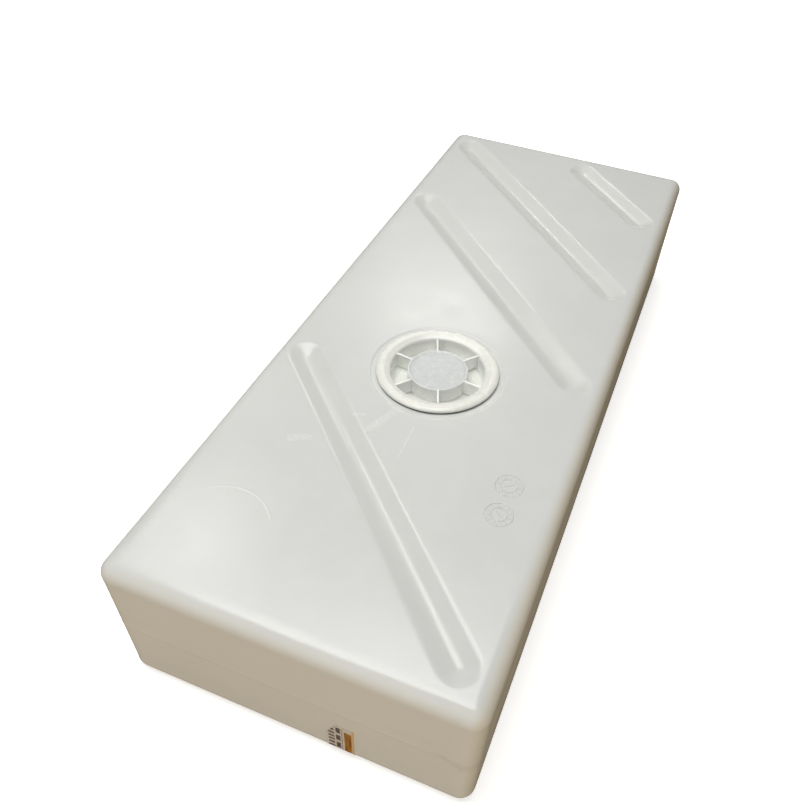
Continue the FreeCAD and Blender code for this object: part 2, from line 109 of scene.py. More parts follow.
class LidShape(bpy.types.PropertyGroup):
    """Sizes of the screw-in inspection lid."""

    rim: FloatProperty(name="Rim", description="Radius of the recess inside the flange", default=0.0575,
                       unit="LENGTH")
    skirt: FloatProperty(name="Skirt", description="Outer radius of the threaded skirt", default=0.0606,
                         unit="LENGTH")
    depth: FloatProperty(name="Depth", description="From under the flange to the foot of the skirt",
                         default=0.022, unit="LENGTH")
    floor: FloatProperty(name="Floor", description="Thickness of the recess's floor", default=0.0025,
                         unit="LENGTH")
    hub: FloatProperty(name="Hub", description="Radius of the raised middle", default=0.0365, unit="LENGTH")
    hub_rise: FloatProperty(name="Hub rise", description="Hub's edge above the underside of the flange",
                            default=0.0006, unit="LENGTH")
    hub_dish: FloatProperty(name="Hub dish", description="How far the hub's middle is sunk", default=0.0008,
                            unit="LENGTH")
    web: FloatProperty(name="Web", description="Thickness of a web", default=0.0025, unit="LENGTH")
    web_turn: FloatProperty(name="Web turn", description="Direction of the first web",
                            default=math.radians(51.5), subtype="ANGLE")
    web_count: IntProperty(name="Webs", description="Number of webs round the hub", default=6, min=3)
    pitch: FloatProperty(name="Thread pitch", description="Rise of the thread in a turn", default=0.006,
                         unit="LENGTH")


class MarkShape(bpy.types.PropertyGroup):
    """Sizes of the moulded date dials and of the label."""

    dial: FloatProperty(name="Dial", description="Radius of a date dial", default=0.0152, unit="LENGTH")
    dial_inner: FloatProperty(name="Inner ring", description="Radius of the ring inside a dial",
                              default=0.0088, unit="LENGTH")
    dial_line: FloatProperty(name="Dial line", description="Half the width of a dial's raised lines",
                             default=0.00055, unit="LENGTH")
    dial_ticks: IntProperty(name="Dial ticks", description="Marks between a dial's rings", default=12, min=3)
    label_torn: FloatProperty(name="Torn height", description="Height lost at the label's worn corner",
                              default=0.026, unit="LENGTH")
    label_wrap: FloatProperty(name="Label wrap", description="How far the label goes round the lower edge",
                              default=math.radians(60), subtype="ANGLE")


class FittingShape(bpy.types.PropertyGroup):
    """Sizes that the hose connections and the drain cock share."""

    washer: FloatProperty(name="Washer", description="Thickness of a sealing washer", default=0.002,
                          unit="LENGTH")
    flats: FloatProperty(name="Flats", description="Thickness of the spanner flats", default=0.007,
                         unit="LENGTH")
    neck: FloatProperty(name="Neck", description="Plain length before the first barb", default=0.009,
                        unit="LENGTH")
    barb_count: IntProperty(name="Barbs", description="Barbs on a hose tail", default=3, min=1)
    cock_length: FloatProperty(name="Cock length", description="Length of the drain cock's barrel",
                               default=0.038, unit="LENGTH")
    lever_length: FloatProperty(name="Lever length", description="From the stem to the lever's tip centre",
                                default=0.048, unit="LENGTH")
    lever_width: FloatProperty(name="Lever width", description="Width of the lever's blade", default=0.011,
                               unit="LENGTH")
    lever_eye: FloatProperty(name="Lever eye", description="Radius of the lever round the stem",
                             default=0.007, unit="LENGTH")
    stem: FloatProperty(name="Stem", description="Radius of the cock's stem with its play",
                        default=0.00356, unit="LENGTH")
    nut_flats: FloatProperty(name="Nut", description="Across the flats of the lever's nut", default=0.010,
                             unit="LENGTH")
    nut_hole: FloatProperty(name="Nut hole", description="Radius of the nut's hole", default=0.00256,
                            unit="LENGTH")


class VesselFinish(bpy.types.PropertyGroup):
    """Colours of the vessel's materials."""

    tank: FloatVectorProperty(name="Tank", description="Natural white polyethylene", subtype="COLOR",
                              default=(0.665, 0.67, 0.645), min=0, max=1)
    lid: FloatVectorProperty(name="Lid", description="Cream moulded plastic", subtype="COLOR",
                             default=(0.82, 0.815, 0.755), min=0, max=1)
    rubber: FloatVectorProperty(name="Rubber", description="Seals and washers", subtype="COLOR",
                                default=(0.035, 0.034, 0.030), min=0, max=1)
    nylon: FloatVectorProperty(name="Nylon", description="Hose tails", subtype="COLOR",
                               default=(0.030, 0.031, 0.033), min=0, max=1)
    enamel: FloatVectorProperty(name="Enamel", description="Lever of the drain cock", subtype="COLOR",
                                default=(0.46, 0.022, 0.018), min=0, max=1)
    stripe: FloatVectorProperty(name="Label stripe", description="Coloured bar on the label",
                                subtype="COLOR", default=(0.46, 0.19, 0.02), min=0, max=1)


class StudioLight(bpy.types.PropertyGroup):
    """Light and view of the stage."""

    overhead: FloatProperty(name="Overhead light", description="Power of the large soft light above",
                            default=60, min=0)
    window: FloatProperty(name="Back window", description="Power of the small light behind on the left",
                          default=3.8, min=0)
    fill: FloatProperty(name="Warm fill", description="Power of the low warm light in front", default=11.2,
                        min=0)
    side: FloatProperty(name="Side fill", description="Power of the low warm light on the right", default=4.6,
                        min=0)
    sky: FloatProperty(name="Surroundings", description="Brightness of the pale surroundings", default=0.12,
                       min=0)
    floor_glow: FloatProperty(name="Floor glow", description="Extra brightness of the floor to the camera",
                              default=0.62, min=0)
    bounce: FloatVectorProperty(name="Floor bounce", description="Colour that the floor throws on the sides",
                                subtype="COLOR", default=(0.30, 0.24, 0.16), min=0, max=1)
    lens: FloatProperty(name="Lens", description="Focal length", default=35.0, unit="CAMERA")


# ---------------------------------------------------------------- small tools

def add(tree, kind, inputs=None, **settings):
    """New node with its settings, and its inputs as numbers or as links from other nodes' outputs."""
    node = tree.nodes.new(kind)
    for name, value in settings.items():
        setattr(node, name, value)
    for key, value in (inputs or {}).items():
        if isinstance(value, bpy.types.NodeSocket):
            tree.links.new(value, node.inputs[key])
        else:
            node.inputs[key].default_value = value
    return node


def sum_of(tree, operation, *values):
    """Result of one arithmetic step, in a shader tree or in a geometry tree."""
    return add(tree, "ShaderNodeMath", dict(enumerate(values)), operation=operation).outputs[0]


def link_mesh(name, verts, faces):
    mesh = bpy.data.meshes.new(name)
    mesh.from_pydata(verts, [], faces)
    item = bpy.data.objects.new(name, mesh)
    bpy.context.scene.collection.objects.link(item)
    return item


def weld(item, distance=1e-6):
    """Joins doubled corners and turns every face outwards."""
    work = bmesh.new()
    work.from_mesh(item.data)
    bmesh.ops.remove_doubles(work, verts=work.verts, dist=distance)
    bmesh.ops.recalc_face_normals(work, faces=work.faces)
    work.to_mesh(item.data)
    work.free()
    return item


def smooth(item, degrees=35):
    item.data.polygons.foreach_set("use_smooth", [True] * len(item.data.polygons))
    item.data.set_sharp_from_angle(angle=math.radians(degrees))
    return item


def settle(item, material, body, slot, *nodes):
    """Finish a piece: its material, the body that it rides on and the nodes that it stands for."""
    item.data.materials.clear()
    item.data.materials.append(material)
    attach(item, body)
    if nodes:
        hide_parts(*nodes)
    return item


def evaluated(item):
    """Plain mesh of an object with its modifiers applied and removed."""
    bpy.context.view_layer.update()
    depsgraph = bpy.context.evaluated_depsgraph_get()
    mesh = bpy.data.meshes.new_from_object(item.evaluated_get(depsgraph))
    item.modifiers.clear()
    old = item.data
    item.data = mesh
    bpy.data.meshes.remove(old)
    return item


class Rule:
    """A geometry tree with named inputs, applied to an object and turned into a plain mesh."""

    def __init__(self, name):
        self.tree = bpy.data.node_groups.new(name, "GeometryNodeTree")
        self.tree.interface.new_socket("Geometry", in_out="INPUT", socket_type="NodeSocketGeometry")
        self.tree.interface.new_socket("Geometry", in_out="OUTPUT", socket_type="NodeSocketGeometry")
        self.start = self.tree.nodes.new("NodeGroupInput")
        self.values = {}

    def size(self, name, value):
        """Named input of the tree, and the value that this object gives it."""
        whole = isinstance(value, int)
        kind = "NodeSocketInt" if whole else "NodeSocketFloat"
        socket = self.tree.interface.new_socket(name, in_out="INPUT", socket_type=kind)
        self.values[socket.identifier] = value
        return self.start.outputs[name]

    def geometry(self):
        return self.start.outputs["Geometry"]

    def apply(self, item, result, material):
        """End in real geometry with its material, and make the result the object's own mesh."""
        real = add(self.tree, "GeometryNodeRealizeInstances", {"Geometry": result})
        coat = add(self.tree, "GeometryNodeSetMaterial", {"Geometry": real.outputs[0], "Material": material})
        end = self.tree.nodes.new("NodeGroupOutput")
        self.tree.links.new(coat.outputs[0], end.inputs["Geometry"])
        modifier = item.modifiers.new(self.tree.name, "NODES")
        modifier.node_group = self.tree
        for identifier, value in self.values.items():
            modifier[identifier] = value
        return evaluated(item)


# ---------------------------------------------------------------- materials

def blank(name):
    """New material and its shader."""
    material = bpy.data.materials.new(name)
    material.use_nodes = True
    tree = material.node_tree
    return material, tree, tree.nodes["Principled BSDF"]


def place_of(tree):
    return add(tree, "ShaderNodeTexCoord").outputs["Object"]


def noise(tree, place, scale, detail=3.0, rough=0.5):
    return add(tree, "ShaderNodeTexNoise", {"Vector": place, "Scale": scale, "Detail": detail,
                                            "Roughness": rough}).outputs["Fac"]


def spread(tree, value, low, high, new_low, new_high):
    """Stretch a range of a value over a new range, with soft ends."""
    return add(tree, "ShaderNodeMapRange", {"Value": value, "From Min": low, "From Max": high,
                                            "To Min": new_low, "To Max": new_high},
               interpolation_type="SMOOTHSTEP").outputs["Result"]


def tint(tree, share, first, second):
    """Mix of two colours, each a tuple or a link."""
    mixer = add(tree, "ShaderNodeMix", data_type="RGBA")
    sockets = (mixer.inputs["Factor"], mixer.inputs[6], mixer.inputs[7])
    for socket, value in zip(sockets, (share, first, second)):
        if isinstance(value, bpy.types.NodeSocket):
            tree.links.new(value, socket)
        elif socket.type == "RGBA":
            socket.default_value = (*value[:3], 1)
        else:
            socket.default_value = value
    return mixer.outputs[2]


def streak(tree, place, start, end, width):
    """1 on a straight mark between two points and 0 away from it."""
    start = Vector(start)
    run = Vector(end) - start
    offset = add(tree, "ShaderNodeVectorMath", {0: place, 1: start}, operation="SUBTRACT").outputs[0]
    share = add(tree, "ShaderNodeVectorMath", {0: offset, 1: run / run.length_squared},
                operation="DOT_PRODUCT").outputs["Value"]
    share = add(tree, "ShaderNodeClamp", {"Value": share}).outputs[0]
    near = add(tree, "ShaderNodeVectorMath", {0: run, "Scale": share}, operation="SCALE").outputs[0]
    gap = add(tree, "ShaderNodeVectorMath", {0: offset, 1: near}, operation="DISTANCE").outputs["Value"]
    return spread(tree, gap, width * 0.4, width, 1, 0)


def distance_from(tree, place, x, y):
    """Distance in plan from an upright axis."""
    flat = add(tree, "ShaderNodeVectorMath", {0: place, 1: (1, 1, 0)}, operation="MULTIPLY").outputs[0]
    return add(tree, "ShaderNodeVectorMath", {0: flat, 1: (x, y, 0)}, operation="DISTANCE").outputs["Value"]


def scaled(colour, factor):
    return tuple(channel * factor for channel in colour)


def scuffs(tree, place, top):
    """Broken pale rubs and one fine scratch on the top, near the hatch."""
    marks = None
    for start, end, width in (((-0.021, -0.200), (-0.036, -0.235), 0.006),
                              ((0.010, -0.211), (0.012, -0.259), 0.0012),
                              ((-0.108, -0.281), (-0.092, -0.273), 0.007),
                              ((-0.050, -0.215), (-0.066, -0.222), 0.003)):
        mark = streak(tree, place, (*start, top), (*end, top), width)
        marks = mark if marks is None else sum_of(tree, "ADD", marks, mark)
    broken = spread(tree, noise(tree, place, 520.0, 3.0, 0.75), 0.42, 0.66, 0, 1)
    return sum_of(tree, "MULTIPLY", marks, broken)


def witness_ring(tree, place, on_top):
    """Faint broken ring that a mould insert leaves on the top."""
    ring = distance_from(tree, place, -0.117, -0.420)
    ring = sum_of(tree, "ABSOLUTE", sum_of(tree, "SUBTRACT", ring, 0.0535))
    ring = sum_of(tree, "MULTIPLY", spread(tree, ring, 0.0002, 0.0017, 1, 0),
                  spread(tree, noise(tree, place, 13.0, 2.0), 0.46, 0.62, 0, 1))
    return sum_of(tree, "MULTIPLY", ring, on_top)


def parting_seam(tree, place, spot, level):
    """Darker line along the mould's parting line, clear on the long sides and hardly there on the ends."""
    seam = sum_of(tree, "ABSOLUTE", sum_of(tree, "SUBTRACT", spot.outputs["Z"], level))
    seam = sum_of(tree, "MULTIPLY", spread(tree, seam, 0.0008, 0.0036, 1, 0),
                  spread(tree, noise(tree, place, 11.0, 2.0), 0.35, 0.6, 0.55, 1))
    flanks = spread(tree, sum_of(tree, "ABSOLUTE", spot.outputs["X"]), 0.190, 0.197, 0.04, 0.34)
    return sum_of(tree, "MULTIPLY", seam, flanks)


def handling_grime(tree, place):
    """Brown streaky dirt at the right of the front, where the tank is taken hold of."""
    grime = add(tree, "ShaderNodeMapping", {"Vector": place, "Scale": (26.0, 1.0, 60.0)}).outputs[0]
    grime = spread(tree, noise(tree, grime, 1.0, 4.0, 0.65), 0.50, 0.72, 0, 1)
    handled = streak(tree, place, (0.10, TANK_LOW.y, 0.085), (0.19, TANK_LOW.y, 0.105), 0.034)
    return sum_of(tree, "MULTIPLY", sum_of(tree, "MULTIPLY", grime, handled), 0.30)


def tank_plastic(colour):
    """Natural polyethylene: cloudy, faintly translucent, satin, with scuffs and a few old marks; its sides
    and right edge carry painted warm shade.
    """
    material, tree, shader = blank("tank_polyethylene")
    place = place_of(tree)
    top = TANK_HIGH.z
    spot = add(tree, "ShaderNodeSeparateXYZ", {0: place})
    cloud = noise(tree, place, 7.0, 4.0, 0.55)
    haze = noise(tree, place, 38.0, 3.0, 0.6)
    # painted warm shade: every face below the top takes the warm colour, standing in for the dim warm floor
    # bounce on the sides; the grime and the parting line borrow that colour too
    painted_side_shade = spread(tree, spot.outputs["Z"], top - 0.030, top - 0.001, 1, 0)
    warm = (colour[0] * 0.99, colour[1] * 0.965, colour[2] * 0.925)
    # painted shade: the right edge and side turn a warmer, darker beige, as the shaded side does
    painted_right_edge_shade = spread(tree, spot.outputs["X"], TANK_HIGH.x - 0.016, TANK_HIGH.x - 0.004, 0, 1)
    pits = add(tree, "ShaderNodeTexNoise", {"Vector": place, "Scale": 260.0, "Detail": 2.0}).outputs["Fac"]
    marks = scuffs(tree, place, top)
    ring = witness_ring(tree, place, spread(tree, spot.outputs["Z"], top - 0.002, top - 0.001, 0, 1))
    speck = streak(tree, place, (0.099, -0.385, top), (0.101, -0.386, top), 0.0022)
    body = tint(tree, spread(tree, cloud, 0.3, 0.7, 0, 1), scaled(colour, 0.985), scaled(colour, 1.015))
    layers = [
        (spread(tree, haze, 0.45, 0.75, 0, 0.3), scaled(colour, 1.03)),
        (painted_side_shade, warm),
        (painted_right_edge_shade, (warm[0] * 0.99, warm[1] * 0.96, warm[2] * 0.90)),
        (handling_grime(tree, place), scaled(warm, 0.60)),
        (spread(tree, pits, 0.70, 0.78, 0, 0.35), scaled(colour, 0.86)),
        (sum_of(tree, "MULTIPLY", marks, 0.42), scaled(colour, 1.22)),
        (sum_of(tree, "MULTIPLY", ring, 0.3), scaled(colour, 1.12)),
        (parting_seam(tree, place, spot, (TANK_LOW.z + top) / 2), scaled(warm, 0.55)),
        (sum_of(tree, "MULTIPLY", speck, 0.45), (0.30, 0.28, 0.24)),
    ]
    for share, layer in layers:
        body = tint(tree, share, body, layer)
    tree.links.new(body, shader.inputs["Base Color"])
    rough = sum_of(tree, "ADD", spread(tree, haze, 0.3, 0.7, 0.22, 0.27),
                   sum_of(tree, "MULTIPLY", marks, 0.2))
    tree.links.new(rough, shader.inputs["Roughness"])
    peel = noise(tree, place, 900.0, 2.0, 0.5)
    height = sum_of(tree, "ADD", sum_of(tree, "MULTIPLY", peel, 0.25), sum_of(tree, "MULTIPLY", marks, 0.8))
    height = sum_of(tree, "ADD", height, ring)
    bump = add(tree, "ShaderNodeBump", {"Height": height, "Strength": 0.25, "Distance": 0.0003})
    tree.links.new(bump.outputs[0], shader.inputs["Normal"])
    shader.inputs["Subsurface Weight"].default_value = 0.12
    shader.inputs["Subsurface Radius"].default_value = (0.012, 0.011, 0.009)
    shader.inputs["Subsurface Scale"].default_value = 0.6
    shader.inputs["IOR"].default_value = 1.5
    return material


def moulded_plastic(name, colour, second, roughness, grain):
    """Injection-moulded plastic with a fine grain and uneven gloss."""
    material, tree, shader = blank(name)
    place = place_of(tree)
    cloud = noise(tree, place, 45.0, 3.0, 0.6)
    body = tint(tree, spread(tree, cloud, 0.3, 0.7, 0, 1), colour, second)
    tree.links.new(body, shader.inputs["Base Color"])
    rough = spread(tree, noise(tree, place, 120.0, 3.0, 0.6), 0.3, 0.7, roughness - 0.05, roughness + 0.06)
    tree.links.new(rough, shader.inputs["Roughness"])
    bump = add(tree, "ShaderNodeBump", {"Height": noise(tree, place, grain, 2.0, 0.5), "Strength": 0.15,
                                        "Distance": 0.0002})
    tree.links.new(bump.outputs[0], shader.inputs["Normal"])
    shader.inputs["IOR"].default_value = 1.5
    return material, tree, shader, place


def lid_plastic(colour):
    """Cream plastic whose thin hub looks cooler, because the dark tank shows through it; inside the recess
    the walls carry a painted glow and the floor painted shade.
    """
    material, tree, shader, place = moulded_plastic("lid_plastic", scaled(colour, 0.99), scaled(colour, 1.03),
                                                    0.24, 700.0)
    radius = distance_from(tree, place, HATCH.x, HATCH.y)
    hub = spread(tree, radius, 0.0350, 0.0368, 1, 0)
    recess = spread(tree, radius, 0.0570, 0.0590, 1, 0)
    old = shader.inputs["Base Color"].links[0].from_socket
    mottle = spread(tree, noise(tree, place, 160.0, 4.0, 0.7), 0.35, 0.65, 0, 1)
    height = add(tree, "ShaderNodeSeparateXYZ", {0: place}).outputs["Z"]
    floor = GASKET_HIGH.z - 0.0190
    # painted shade on the recess floor and a painted glow on the walls and webs above it, standing in for
    # light through the thin plastic
    painted_pocket_glow_and_shade = tint(tree, spread(tree, height, floor, floor + 0.002, 0, 1), (0.71, 0.72, 0.675),
                  (0.97, 0.975, 0.935))
    cool = tint(tree, mottle, (0.58, 0.60, 0.585), (0.64, 0.655, 0.64))
    body = tint(tree, recess, old, painted_pocket_glow_and_shade)
    body = tint(tree, hub, body, cool)
    tree.links.new(body, shader.inputs["Base Color"])
    shader.inputs["Subsurface Weight"].default_value = 0.3
    shader.inputs["Subsurface Radius"].default_value = (0.008, 0.0075, 0.0065)
    shader.inputs["Subsurface Scale"].default_value = 0.6
    return material


def seal_rubber(colour):
    """Matt black rubber."""
    return moulded_plastic("seal_rubber", colour, scaled(colour, 1.5), 0.62, 1500.0)[0]


def hose_nylon(colour):
    """Satin black nylon."""
    return moulded_plastic("hose_nylon", colour, scaled(colour, 1.35), 0.38, 1100.0)[0]


def seat_plastic():
    """Smooth white seat rings of the ball."""
    return moulded_plastic("seat_plastic", (0.86, 0.86, 0.85), (0.90, 0.90, 0.89), 0.3, 900.0)[0]


def machined_metal(name, colour, second, roughness, axis_scale):
    """Metal with fine turning lines and slight tarnish."""
    material, tree, shader = blank(name)
    place = place_of(tree)
    tarnish = noise(tree, place, 90.0, 4.0, 0.65)
    tree.links.new(tint(tree, spread(tree, tarnish, 0.35, 0.7, 0, 1), colour, second),
                   shader.inputs["Base Color"])
    lines = noise(tree, add(tree, "ShaderNodeMapping", {"Vector": place, "Scale": axis_scale}).outputs[0],
                  1.0, 3.0, 0.6)
    tree.links.new(spread(tree, lines, 0.3, 0.7, roughness - 0.06, roughness + 0.1),
                   shader.inputs["Roughness"])
    bump = add(tree, "ShaderNodeBump", {"Height": lines, "Strength": 0.2, "Distance": 0.00008})
    tree.links.new(bump.outputs[0], shader.inputs["Normal"])
    shader.inputs["Metallic"].default_value = 1.0
    return material


def lever_enamel(colour):
    """Gloss enamel with a few small chips."""
    material, tree, shader, place = moulded_plastic("lever_enamel", colour, scaled(colour, 1.25), 0.24, 500.0)
    chips = spread(tree, noise(tree, place, 330.0, 3.0, 0.7), 0.68, 0.72, 0, 1)
    old = shader.inputs["Base Color"].links[0].from_socket
    tree.links.new(tint(tree, chips, old, (0.30, 0.28, 0.26)), shader.inputs["Base Color"])
    shader.inputs["Coat Weight"].default_value = 0.4
    return material


def label_paper(stripe):
    """White paper with blocks of plain dark bars and a coloured stripe, drawn along the label's own map."""
    material, tree, shader = blank("label_paper")
    across_up = add(tree, "ShaderNodeSeparateXYZ", {0: add(tree, "ShaderNodeUVMap").outputs[0]})
    across, up = across_up.outputs["X"], across_up.outputs["Y"]
    place = place_of(tree)

    def band(value, low, high, soft=0.012):
        """1 between two heights of a value, with crisp ends."""
        rise = spread(tree, value, low - soft, low + soft, 0, 1)
        fall = spread(tree, value, high - soft, high + soft, 1, 0)
        return sum_of(tree, "MULTIPLY", rise, fall)

    def bars(value, count, share):
        """Even bars across a value."""
        turn = sum_of(tree, "FRACT", sum_of(tree, "MULTIPLY", value, count))
        return spread(tree, turn, share - 0.05, share + 0.05, 1, 0)

    ragged = sum_of(tree, "ADD", across, spread(tree, noise(tree, place, 600.0, 3.0, 0.8), 0, 1, -0.03, 0.03))
    blocks = sum_of(tree, "MULTIPLY", band(ragged, 0.08, 0.30), bars(up, 9.0, 0.55))
    column = sum_of(tree, "MULTIPLY", band(across, 0.36, 0.52), bars(up, 4.0, 0.72))
    thin = sum_of(tree, "MULTIPLY", band(across, 0.55, 0.60), bars(up, 17.0, 0.5))
    ink = sum_of(tree, "MAXIMUM", blocks, sum_of(tree, "MAXIMUM", column, thin))
    ink = sum_of(tree, "MULTIPLY", ink, band(up, 0.05, 0.93))
    worn = spread(tree, noise(tree, place, 900.0, 2.0, 0.6), 0.38, 0.5, 0.55, 1)
    paper = tint(tree, noise(tree, place, 300.0), (0.55, 0.50, 0.44), (0.66, 0.61, 0.55))
    paper = tint(tree, sum_of(tree, "MULTIPLY", ink, worn), paper, (0.045, 0.035, 0.03))
    grain = add(tree, "ShaderNodeMapping", {"Vector": place, "Scale": (420.0, 1.0, 90.0)}).outputs[0]
    colour = tint(tree, spread(tree, noise(tree, grain, 1.0, 3.0, 0.7), 0.35, 0.65, 0, 1),
                  scaled(stripe, 0.28), stripe)
    paper = tint(tree, band(across, 0.93, 1.05), paper, (0.60, 0.42, 0.20))
    bar = sum_of(tree, "MULTIPLY", band(across, 0.66, 0.92), band(up, -0.1, 0.86))
    paper = tint(tree, bar, paper, colour)
    tree.links.new(paper, shader.inputs["Base Color"])
    shader.inputs["Roughness"].default_value = 0.42
    bump = add(tree, "ShaderNodeBump", {"Height": noise(tree, place, 1200.0), "Strength": 0.2,
                                        "Distance": 0.00005})
    tree.links.new(bump.outputs[0], shader.inputs["Normal"])
    return material


# ---------------------------------------------------------------- the tank's shell

def perimeter(half_x, half_y, spacing, turn_steps):
    """Anchors round a rectangle, anticlockwise, each with the outward direction it grows in and its side."""
    corners = [(half_x, half_y), (-half_x, half_y), (-half_x, -half_y), (half_x, -half_y)]
    anchors = []
    for index, (x, y) in enumerate(corners):
        for step in range(turn_steps + 1):
            angle = math.radians(90 * (index + step / turn_steps))
            anchors.append((x, y, math.cos(angle), math.sin(angle), None))
        next_x, next_y = corners[(index + 1) % 4]
        count = round(math.hypot(next_x - x, next_y - y) / spacing)
        for step in range(1, count):
            share = step / count
            anchors.append((x + (next_x - x) * share, y + (next_y - y) * share,
                            round(math.cos(angle)), round(math.sin(angle)), index))
    return anchors


def profile_rows(round_radius, low, high, steps, middle):
    """Offsets and heights of the loops of a skin, from its underside over its side to its top."""
    rows = []
    for step in range(steps + 1):
        angle = math.radians(90 * step / steps)
        rows.append((round_radius * math.sin(angle), low + round_radius * (1 - math.cos(angle))))
    rows += [(round_radius - inset, height) for inset, height in middle]
    for step in range(steps + 1):
        angle = math.radians(90 * step / steps)
        rows.append((round_radius * math.cos(angle), high - round_radius * (1 - math.sin(angle))))
    return rows


class ShellDraft:
    """Corners and faces of the tank's skins before they are welded."""

    def __init__(self):
        self.verts = []
        self.faces = []
        self.inner = []

    def corner(self, x, y, z, inner):
        self.verts.append((x, y, z))
        self.inner.append(inner)
        return len(self.verts) - 1

    def loops(self, rows_of_points, inner, closed=True):
        """Skin between neighbouring loops of equal length."""
        rows = [[self.corner(*point, inner) for point in row] for row in rows_of_points]
        count = len(rows[0])
        for lower, upper in zip(rows, rows[1:]):
            for index in range(count if closed else count - 1):
                after = (index + 1) % count
                self.faces.append((lower[index], lower[after], upper[after], upper[index]))

    def patch(self, outline, holes, filler, to_space, inner):
        """Flat panel inside an outline, around round holes, with the filler points as corners too."""
        points = list(outline)
        edges = [(i, (i + 1) % len(outline)) for i in range(len(outline))]
        for centre_x, centre_y, radius, ring in holes:
            first = len(points)
            points += ring
            edges += [(first + i, first + (i + 1) % len(ring)) for i in range(len(ring))]
        points += filler
        flat = [Vector(point) for point in points]
        corners, _, faces, _, _, _ = delaunay_2d_cdt(flat, edges, [], 1, 1e-8)
        index_of = [self.corner(*to_space(point.x, point.y), inner) for point in corners]
        for face in faces:
            middle = sum((corners[i] for i in face), Vector((0, 0))) / len(face)
            if all(math.dist(middle, hole[:2]) > hole[2] * 0.999 for hole in holes):
                self.faces.append(tuple(index_of[i] for i in face))


def circle(centre_x, centre_y, radius, count=64):
    turns = [2 * math.pi * index / count for index in range(count)]
    return [(centre_x + radius * math.cos(turn), centre_y + radius * math.sin(turn)) for turn in turns]


def hole_at(centre_x, centre_y, radius):
    return (centre_x, centre_y, radius, circle(centre_x, centre_y, radius))


def groove_ends(shape):
    """Centre of each groove's two round ends, with the direction that the end faces in degrees."""
    ends = []
    for step in GROOVE_PLACES:
        crossing = shape.groove_first + step * shape.groove_pitch
        left = max(TANK_LOW.x + shape.groove_left, crossing - TANK_HIGH.y + shape.groove_far)
        right = TANK_HIGH.x - shape.groove_right
        ends += [(left, crossing - left, 135), (right, crossing - right, -45)]
    return ends


def on_an_end(x, y, ends, reach):
    """Whether a spot lies on the outer half of a groove's round end."""
    for end_x, end_y, facing in ends:
        angle = math.radians(facing)
        ahead = (x - end_x) * math.cos(angle) + (y - end_y) * math.sin(angle)
        if ahead > 0 and math.hypot(x - end_x, y - end_y) < reach:
            return True
    return False


def end_arcs(ends, rows, spacing):
    """Corners on half circles round the grooves' ends."""
    points = []
    for end_x, end_y, facing in ends:
        for row in rows:
            count = math.ceil(math.pi * row / spacing)
            for turn in range(count):
                angle = math.radians(facing - 90 + 180 * (turn + 0.5) / count)
                points.append((end_x + row * math.cos(angle), end_y + row * math.sin(angle)))
    return points


def panel_filler(half_x, half_y, shape, dense, coarse, keep_out):
    """Corners in rows along the grooves, close where a groove bends the panel and wide elsewhere."""
    near_rows = [0, 1.3, 2.6, 4, 6, 9, 12, 15, 17.2, 18.8, 20.2, 21.4, 22.6, 24.2, GROOVE_REACH * 1000]
    near_rows = [row / 1000 for row in near_rows[:: 1 if dense < 0.005 else 2]]
    period = shape.groove_pitch / math.sqrt(2)
    room = period / 2 - GROOVE_REACH
    far_count = round(room / coarse)
    far_rows = [GROOVE_REACH + room * (i + 1) / far_count for i in range(far_count)]
    plain_rows = [coarse * i for i in range(round(period / 2 / coarse))]
    ends = groove_ends(shape)
    end_reach = GROOVE_REACH + 0.0005 + coarse / 3

    def inside(x, y):
        return abs(x) < half_x - PANEL_MARGIN and abs(y) < half_y - PANEL_MARGIN

    points = [spot for spot in end_arcs(ends, near_rows[1:], dense) if inside(*spot)]
    for step in range(-4, 10):
        crossing = shape.groove_first + step * shape.groove_pitch
        grooved = step in GROOVE_PLACES
        rows = [(row, dense) for row in near_rows] if grooved else [(row, coarse) for row in plain_rows]
        rows += [(row, coarse) for row in far_rows]
        for row, spacing in rows:
            for side in ((1, -1) if row else (1,)):
                shift = side * row * math.sqrt(2)
                for turn in range(-round(0.75 / spacing), round(0.75 / spacing)):
                    x = turn * spacing / math.sqrt(2)
                    y = crossing + shift - x
                    if inside(x, y) and not keep_out(x, y) and not on_an_end(x, y, ends, end_reach):
                        points.append((x, y))
    return points


def main_skin(draft, shape, inset, spacing, dense, coarse, inner):
    """One closed skin of the tank: its rounded box, with open holes for the hatch and the connections."""
    half_x = TANK_HIGH.x - shape.edge_round
    half_y = TANK_HIGH.y - shape.edge_round
    radius = shape.edge_round - inset
    low, high = TANK_LOW.z + inset, TANK_HIGH.z - inset
    anchors = perimeter(half_x, half_y, spacing, 3 if inner else 7)
    middle_height = (low + high) / 2
    if inner:
        levels = [(0, low + radius + (high - low - 2 * radius) * share) for share in (0.25, 0.5, 0.75)]
    else:
        levels = side_levels(shape, low + radius, high - radius, middle_height)
    rows = profile_rows(radius, low, high, 3 if inner else 8, levels)
    first_level, last_level = (3, len(rows) - 4) if inner else (8, len(rows) - 9)
    loops = [[(x + dx * offset, y + dy * offset, height) for x, y, dx, dy, side in anchors]
             for offset, height in rows]
    far = [index for index, anchor in enumerate(anchors) if anchor[4] == 0]
    far = [far[0] - 1] + far + [far[-1] + 1]
    rest = [(far[-1] + step) % len(anchors) for step in range(len(anchors) - len(far) + 2)]
    draft.loops(loops[:first_level + 1], inner)
    draft.loops([[row[index] for index in rest] for row in loops[first_level:last_level + 1]], inner,
                closed=False)
    draft.loops(loops[last_level:], inner)
    far_panel(draft, loops[first_level:last_level + 1], far, inner)
    for height, top in ((low, False), (high, True)):
        face_panel(draft, shape, anchors, height, top, dense, coarse, inner)


